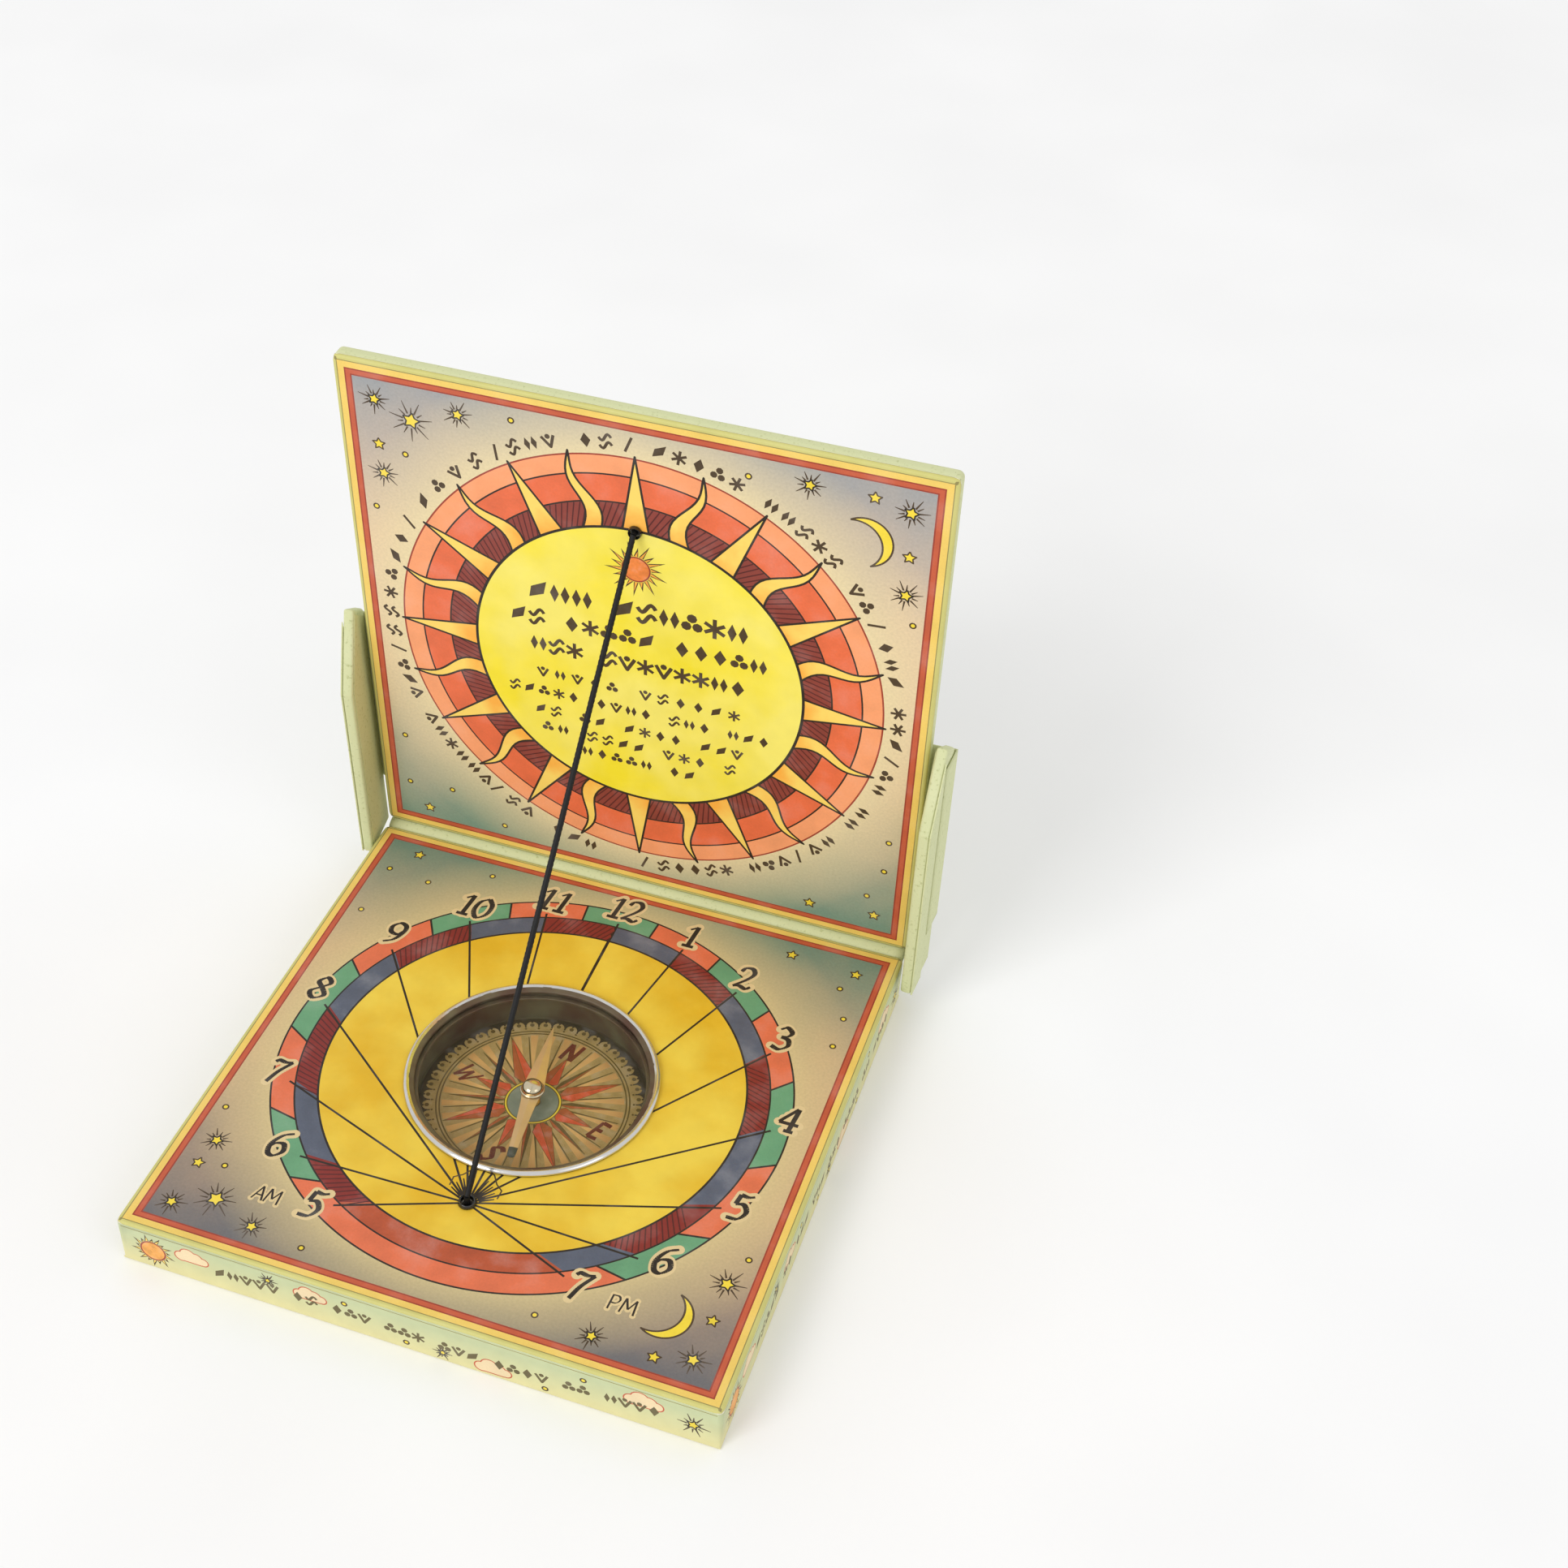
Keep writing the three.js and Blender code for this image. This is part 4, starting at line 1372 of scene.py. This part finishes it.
def lid_wrap(inks, green):
    """Green paper over the lid's back and down its edges."""
    edge = 0.6
    corner = 0.35
    art = Art(inks)
    art.shape(box_outline(HALF - edge, corner), "paper_back")
    art.shape(ring(EYELET_BORE, (0, HOLE_UP), 40), "hole")
    bm = art.build()
    depth = LID_BACK - LID_FRONT - CURL - 0.04
    curl_edge(bm, HALF - edge, corner, [*quarter_turn(edge), (edge, (edge + depth) / 2), (edge, depth)])
    piece = place_mesh("lid_wrap", bm, back_matrix(), [green], "lid",
                       ["lid_cover", "lid_edge_wrap"])
    thicken(piece, PAPER, inks)


def bottom_sheet(inks):
    """The plain paper under the box."""
    art = Art(inks)
    art.shape(box_outline(HALF - BAND_TURN_IN - 0.2, corner=CORNER), "paper_back")
    bm = art.build()
    piece = place_mesh("bottom_paper", bm, Matrix.Translation((0, 0, PAPER * MM)), art.materials(),
                       "box", ["bottom_sheet"])
    thicken(piece, PAPER * 0.9, inks)


def flap_outline(flap, side):
    """A flap's depths, heights and thickness, from its CAD board."""
    place = flap_matrix(side).inverted()
    points = [place @ v.co / MM for v in NODES[f"{flap}_board"].data.vertices]
    front = min(p.y for p in points)
    back = max(p.y for p in points)
    bottom = min(p.z for p in points)
    peak = max(points, key=lambda p: p.z)
    back_top = max(p.z for p in points if p.y > back - 0.01)
    shoulder = max(p.z for p in points if p.y < front + 0.01)
    thickness = -min(p.x for p in points)
    return front, back, bottom, back_top, (peak.y, peak.z), shoulder, thickness


def prism(name, outline, low, high, edge):
    """A board with rounded edges: the outline in YZ, from x = low to high."""
    bm = bmesh.new()
    rings = [[bm.verts.new((x, y, z)) for y, z in outline] for x in (low, high)]
    bm.faces.new(rings[0])
    bm.faces.new(list(reversed(rings[1])))
    for i in range(len(outline)):
        j = (i + 1) % len(outline)
        bm.faces.new((rings[0][j], rings[0][i], rings[1][i], rings[1][j]))
    bmesh.ops.recalc_face_normals(bm, faces=bm.faces)
    bmesh.ops.bevel(bm, geom=bm.edges[:], offset=edge, segments=4, affect="EDGES", profile=0.5)
    return mesh_of(name, bm, 30)


def flap_pieces(side, green, lining):
    """A wrapped board, the outer cover that meets the hinge paper, and a lining inside."""
    flap = flap_name(side)
    front, back, bottom, back_top, peak, shoulder, thickness = flap_outline(flap, side)
    place = flap_matrix(side)
    scaled = Matrix.Translation(place.translation / MM) @ place.to_3x3().to_4x4()
    cover = local_box(f"{flap}_cover", place)[1]
    skin, margin = 0.12, 0.7
    board_outline = [(front, bottom), (back, bottom), (back, back_top), peak, (front, shoulder)]
    cover_outline = [(front, bottom), (cover.y, bottom), (cover.y, cover.z), (front, shoulder)]
    lining_outline = [(front + margin, bottom + margin), (back - margin, bottom + margin),
                      (back - margin, back_top - margin), (peak[0], peak[1] - margin * 1.2),
                      (front + margin, shoulder - margin * 0.2)]
    for layer, outline, low, high, edge, paper, nodes in (
            ("wrapped_board", board_outline, skin - thickness, -PAPER - 0.02, 0.4, green, ["board"]),
            ("cover_paper", cover_outline, -PAPER, -0.05, 0.1, green, ["cover"]),
            ("lining", lining_outline, -thickness, skin - 0.01 - thickness, 0.03, lining, [])):
        mesh = prism(f"{flap}_{layer}", outline, low, high, edge)
        mesh.transform(scaled)
        if scaled.determinant() < 0:
            mesh.flip_normals()
        place_mesh(f"{flap}_{layer}", mesh, IDENTITY, [paper], flap,
                   [f"{flap}_{node}" for node in nodes])


# Paper hinges

def ribbon(name, line, ends, steps, place, material, node, offset):
    """A paper strip: a bent line swept between two heights. place turns (point, height) to 3-D."""
    start, end = ends
    rows = [[place(point, start + (end - start) * k / steps) for point in line]
            for k in range(steps + 1)]
    piece = place_mesh(name, grid_mesh(name, rows), IDENTITY, [material], None, [node])
    thicken(piece, HINGE_PAPER)
    piece.modifiers["thickness"].offset = offset
    return piece


def flap_hinge(side, green):
    """From the lid's back, over the gap, round the hinge line and onto the flap's outer face."""
    flap = flap_name(side)
    place = LID.inverted() @ flap_matrix(side)
    low, high = local_box(f"{flap}_hinge", LID)
    overlap = 5.0
    skin = LID_BACK + GLUE + HINGE_PAPER
    axis = place @ Vector((0, 0, 0)) / MM
    edge = side * HALF
    line = [(edge - side * overlap, skin), (edge - side * 2.5, skin), (edge - side * 0.2, skin),
            (edge + side * 1.2, skin + 0.04), (axis.x - side * 0.4, axis.y - 0.02), (axis.x, axis.y)]
    for depth in (0.25, 1.5, 3.2, overlap):
        point = place @ (Vector((0, -depth, 0)) * MM) / MM
        line.append((point.x, point.y))

    def on_lid(point, height):
        return LID @ (Vector((*point, height)) * MM) / MM
    piece = ribbon(f"{flap}_hinge_strip", line, (low.z, high.z), 24, on_lid, green, f"{flap}_hinge", -1)
    ends = [on_lid(point, low.z) * MM for point in (line[0], line[-1])]
    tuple(ends[0])
    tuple(ends[1])
    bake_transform(piece)
    to_flap = flap_matrix(side).inverted()
    set_weights(piece, lambda p: 1.0 if (to_flap @ (p * MM)).x / MM > -0.05 else 0.0)


def fold_strip(name, node, points, first, last, green):
    """A strip as wide as its node, laid along a bent line from the box to the lid."""
    line = [(p.x, p.y) for p in spline(points, 5)]
    low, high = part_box(node)
    piece = ribbon(name, line, (low.x / MM, high.x / MM), 60, lambda point, at: Vector((at, *point)),
                   green, node, 0)
    Vector((0, *points[first])) * MM
    Vector((0, *points[last])) * MM
    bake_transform(piece)


def lid_fold_hinges(green):
    """The strip in the seam between dial and lid, and the spine behind the box."""
    box_back = HALF + GLUE + HINGE_PAPER / 2
    lid_skin = LID_BACK + GLUE + HINGE_PAPER / 2
    leave = DIAL_TOP - 2.5

    def on_lid(back, up):
        point = LID @ (Vector((0, back, up)) * MM) / MM
        return (point.y, point.z)
    seam = [(box_back, DIAL_TOP - 1), (box_back, DIAL_TOP - 0.35), on_lid(LID_FRONT - 0.3, -0.85),
            on_lid(LID_FRONT + 0.5, -0.6)]
    fold_strip("seam_strip", "inner_hinge_strip", seam, 1, 2, green)
    spine = [(box_back, PAPER), (box_back, leave * 0.5), (box_back, leave), (box_back + 0.25, leave + 0.6),
             (box_back + 0.9, leave + 1), (box_back + 2.1, leave + 0.8), (box_back + 3.2, leave + 1),
             on_lid(lid_skin, -1.6), on_lid(lid_skin, 0), on_lid(lid_skin, 3), on_lid(lid_skin, 6)]
    fold_strip("spine_paper", "spine_strip", spine, 2, 8, green)


# The compass

def on_axis():
    return Matrix.Translation(Vector((COMPASS.x, COMPASS.y, 0)) * MM)


def radii(node):
    """A round node's radius, bottom and top."""
    low, high = local_box(node, on_axis())
    return high.x, low.z, high.z


CARD_INNER = 14.5
ROSE_INNER = 4.4


def compass_card(inks):
    """The printed card, with its lace border and its rose."""
    radius, bottom, top = radii("compass_card")
    art = Art(inks)
    art.shape(ring(radius, facets=200), "card_edge")
    art.shape(ring(CARD_INNER + 0.4, facets=200), "card")
    lace_ring(art, CARD_INNER)
    compass_rose(art)
    bm = art.build()
    place = on_axis() @ Matrix.Translation((0, 0, top * MM))
    piece = place_mesh("compass_card_printed", bm, place, art.materials(), "box",
                       ["compass_card"])
    thicken(piece, top - bottom, inks)


def lace_ring(art, inner):
    """Scallops of pale lace on a dark edge, with small holes, outside two fine circles."""
    count = 48
    turns = [360 * k / count for k in range(count)]
    for turn in turns:
        art.shape(ring(0.92, polar(inner + 1.15, turn), 14), "card_lace")
    art.shape(ring(inner + 0.9, facets=120), "card_lace")
    for turn in turns:
        art.shape(ring(0.36, polar(inner + 1.35, turn), 8), "card_line")
        art.shape(ring(0.2, polar(inner + 0.62, turn + 180 / count), 6), "card_line")
        art.shape(ring(0.2, polar(inner + 1.95, turn), 6), "card_edge")
    for radius in (inner - 0.5, inner):
        art.stroke(ring(radius), 0.22, "card_line", closed=True)


def dart(art, turn, inner, outer, half, light, dark):
    """A narrow kite in two tones."""
    foot, tip = polar(inner, turn), polar(outer, turn)
    wide = inner + (outer - inner) * 0.22
    for side, paint in ((-1, dark), (1, light)):
        corner = polar(wide, turn + math.degrees(side * half / wide))
        art.outlined([foot, tip, corner], paint, "card_line", 0.08)


def compass_rose(art):
    """Lines, darts and letters, turned a little clockwise from the dial's noon."""
    north = 9.0
    turns = [north + 360 * k / 32 for k in range(32)]
    for turn in turns:
        art.shape([polar(ROSE_INNER, turn), polar(13.7, turn + 1.2), polar(13.7, turn + 6.2)], "card_shade")
    for k, turn in enumerate(turns):
        if k % 4:
            line = [polar(ROSE_INNER, turn), polar(13.4 if k % 2 else 12.0, turn)]
            art.stroke(line, tapered(0.34, 0.14), "card_line")
    for k in range(8):
        dart(art, north + 22.5 + 45 * k, 3.8, 12.8, 0.55, "dart_shade", "card_line")
    for k in range(8):
        reach = 10.2 if k % 2 == 0 else 13.8
        dart(art, north + 45 * k, 3.6, reach, 1.5, "dart", "dart_shade")
    for inset, paint in ((0.05, "card_line"), (0.2, "star"), (0.45, "card_line"), (0.6, "card_blue")):
        art.shape(ring(ROSE_INNER - inset, facets=72), paint)
    for k, letter in enumerate("NESW"):
        turn = north + 90 * k
        lettering(art, letter, polar(11.5, turn), 3.5, 0.24, "card_letter", turn=turn * 0.12, slant=0.25)


def turned_piece(name, node, profile, materials, slot, body="box", facets=192, inner=0.0, **settings):
    """A round piece on the compass's axis. Faces within the inner radius have the last material."""
    mesh = lathe(name, profile, facets, **settings)
    for face in mesh.polygons:
        face.material_index = int(math.hypot(face.center.x, face.center.y) < inner)
    place_mesh(name, mesh, on_axis(), materials, body, [node])


def compass_cup(metals):
    """The case, the glass and the ring that holds it."""
    glass, glass_low, glass_high = radii("compass_glass")
    radius, low, high = radii("compass_case")
    floor = radii("compass_card")[1] - 0.1
    inside = glass + 0.1
    profile = [(0, low), (radius, low), (radius, high), (inside, high), (inside, high - 1.2),
               (inside - 0.12, high - 1.35), (inside, high - 1.5), (inside, floor), (0, floor)]
    turned_piece("compass_case_cup", "compass_case", profile, [metals["case"]], "dark_metal", closed=False)

    radius, low, high = radii("glass_ring")
    profile = [(radius - 0.8, low), (radius, low), (radius, high), (radius - 0.8, high)]
    turned_piece("glass_seat_ring", "glass_ring", profile, [metals["case"]], "dark_metal")

    profile = [(0, glass_low), (glass, glass_low), (glass, glass_high), (0, glass_high)]
    turned_piece("compass_window", "compass_glass", profile, [metals["glass"]], "clear_glass",
                 closed=False, corner=0.08)


def compass_bezel(metals):
    """The rim, rolled over the case's edge and a little out of round."""
    radius, low, high = radii("compass_rim")
    inner = radius - 1.7
    profile = [(inner, low), (radius - 0.1, low), (radius, low + 0.25), (radius - 0.12, high - 0.3),
               (radius - 0.5, high), (radius - 0.85, high - 0.2), (inner + 0.1, low + 0.3)]
    chance = random.Random(5)
    waves = [(n, chance.uniform(0, math.tau), chance.uniform(0.006, 0.02)) for n in (3, 7, 11, 23, 37)]

    def crimped(turn):
        return sum(size * math.sin(n * turn + phase) for n, phase, size in waves) * 0.5 - 0.04
    turned_piece("compass_bezel", "compass_rim", profile, [metals["chrome"], metals["case"]],
                 "chrome_rim", facets=256, inner=radius - 0.95, corner=0.2, groove=crimped)


def pivot_pin(metals):
    """The pin that the needle rides on."""
    radius, low, high = radii("pivot_pin")
    profile = [(0, low), (radius, low), (radius, low + 0.3), (0.45, low + 0.5), (0.38, high - 0.8),
               (0.04, high), (0, high)]
    turned_piece("pivot_pin_turned", "pivot_pin", profile, [metals["brass"]], "brass", facets=48,
                 closed=False, corner=0.08)


def needle_blade(metals):
    """A lozenge blade with a raised spine and a dark tail."""
    low, high = local_box("compass_needle", on_axis())
    points = [on_axis().inverted() @ v.co / MM for v in NODES["compass_needle"].data.vertices]
    north = max(points, key=lambda p: p.length if p.y > 0 else 0)
    length = Vector((north.x, north.y)).length
    half = 1.6
    shoulder = high.z - 0.16
    stations = [(-length, 0.02), (-length + 0.3, 0.55), (-length + 1.9, 0.66), (-length * 0.55, 0.86),
                (-half * 1.5, 1.2), (0, half), (half * 1.5, 1.4), (length * 0.55, 0.82),
                (length - 1.9, 0.34), (length, 0.02)]
    bm = bmesh.new()
    rings = []
    for y, width in spline(stations, 5):
        w = max(width, 0.02)
        section = [(-w, low.z + 0.04), (-w, shoulder), (0, shoulder + 0.16 * min(1, w / 1.2)),
                   (w, shoulder), (w, low.z + 0.04), (0, low.z)]
        rings.append([bm.verts.new((x, y, z)) for x, z in section])
    for first, second in zip(rings, rings[1:]):
        tail = (first[0].co.y + second[0].co.y) / 2 < -length + 2.1
        for i in range(6):
            j = (i + 1) % 6
            bm.faces.new((first[i], first[j], second[j], second[i])).material_index = int(tail)
    bm.faces.new(list(reversed(rings[0])))
    bm.faces.new(rings[-1])
    bmesh.ops.recalc_face_normals(bm, faces=bm.faces)
    place = on_axis() @ Matrix.Rotation(math.atan2(-north.x, north.y), 4, "Z")
    place_mesh("needle_blade", bm, place, [metals["needle"], metals["tail"]], "needle",
               ["compass_needle"])


def needle_hub(metals):
    """The domed cap that the blade hangs from."""
    seat = local_box("compass_needle", on_axis())[1].z + 0.05
    cap, low, high = radii("needle_hub")
    profile = [(0, low + 0.85), (0.5, low + 0.05), (0.8, low), (0.85, seat), (cap - 0.05, seat),
               (cap - 0.05, seat + 0.15), (cap - 0.25, seat + 0.25), (cap - 0.3, seat + 0.7),
               (cap - 0.62, seat + 1.15), (0.55, high - 0.08), (0, high)]
    turned_piece("needle_hub_cap", "needle_hub", profile, [metals["brass_bright"]], "brass",
                 "needle", 64, closed=False, corner=0.25)


def metals():
    """The compass's materials by name."""
    return {
        "case": case_metal("case_metal", rgb(86, 60, 46), rgb(110, 102, 76)),
        "brass": polished_metal("brass", rgb(200, 162, 84), 0.3),
        "brass_bright": polished_metal("brass_bright", rgb(236, 222, 190), 0.14, 0.4),
        "chrome": polished_metal("chrome", rgb(226, 224, 220), 0.13, 0.6),
        "glass": clear_glass("clear_glass"),
        "needle": polished_metal("needle_metal", rgb(246, 218, 170), 0.42, 0.6),
        "tail": washed_ink("needle_tail", rgb(70, 76, 66), 0.15, 1.0, 0.4),
    }


def dress_boards(board, filler):
    """Materials for the boards that stay as the frame has them."""
    boards = dict.fromkeys(("floor_board", "wall_frame", "dial_board", "lid_board"), board)
    for node, material in (boards | {"filler_block": filler}).items():
        NODES[node].data.materials.clear()
        NODES[node].data.materials.append(material)


# Everything

make_camera()
THREAD = black_thread("black_thread")
gnomon_cord(THREAD)
INKS = make_inks()
GREEN = wrap_paper("green_paper", rgb(210, 214, 166), rgb(216, 219, 175))
LINING = wrap_paper("lining_paper", rgb(208, 208, 154), rgb(214, 214, 164))
METALS = metals()
cord_fixings(THREAD, black_enamel("black_enamel"))
dial_sheet(INKS)
lid_sheet(INKS)
side_band(INKS)
bottom_sheet(INKS)
lid_wrap(INKS, GREEN)
for SIDE in (-1, 1):
    flap_pieces(SIDE, GREEN, LINING)
    flap_hinge(SIDE, GREEN)
lid_fold_hinges(GREEN)
compass_card(INKS)
for PART in (compass_cup, compass_bezel, pivot_pin, needle_blade, needle_hub):
    PART(METALS)
dress_boards(grey_board("grey_board", rgb(156, 150, 138)), grey_board("filler_board", rgb(214, 204, 180)))


# Studio

def area_light(name, place, size, power):
    """A square soft lamp that points at the sundial."""
    light = bpy.data.lights.new(name, "AREA")
    light.energy = power
    light.size = size
    lamp = bpy.data.objects.new(name, light)
    lamp.location = place
    aim = Vector((0, 0, 0.03)) - Vector(place)
    lamp.rotation_euler = aim.to_track_quat("-Z", "Y").to_euler()
    bpy.context.scene.collection.objects.link(lamp)


def studio():
    """A pale floor, an even sky of light and two large soft lamps."""
    bm = bmesh.new()
    bmesh.ops.create_grid(bm, x_segments=8, y_segments=8, size=3000)
    floor = place_mesh("floor", bm, Matrix.Translation((0, 0, -0.00002)), [studio_floor("floor")])
    world = bpy.data.worlds.new("studio")
    world.use_nodes = True
    world.node_tree.nodes["Background"].inputs["Color"].default_value = (1, 1, 1, 1)
    world.node_tree.nodes["Background"].inputs["Strength"].default_value = 0.8
    bpy.context.scene.world = world
    area_light("key", (-1.1, -2.2, 1.7), 1.3, 30.0)
    area_light("fill", (1.9, -0.9, 1.5), 1.2, 4.0)
    bpy.context.scene.view_settings.view_transform = "Standard"


studio()
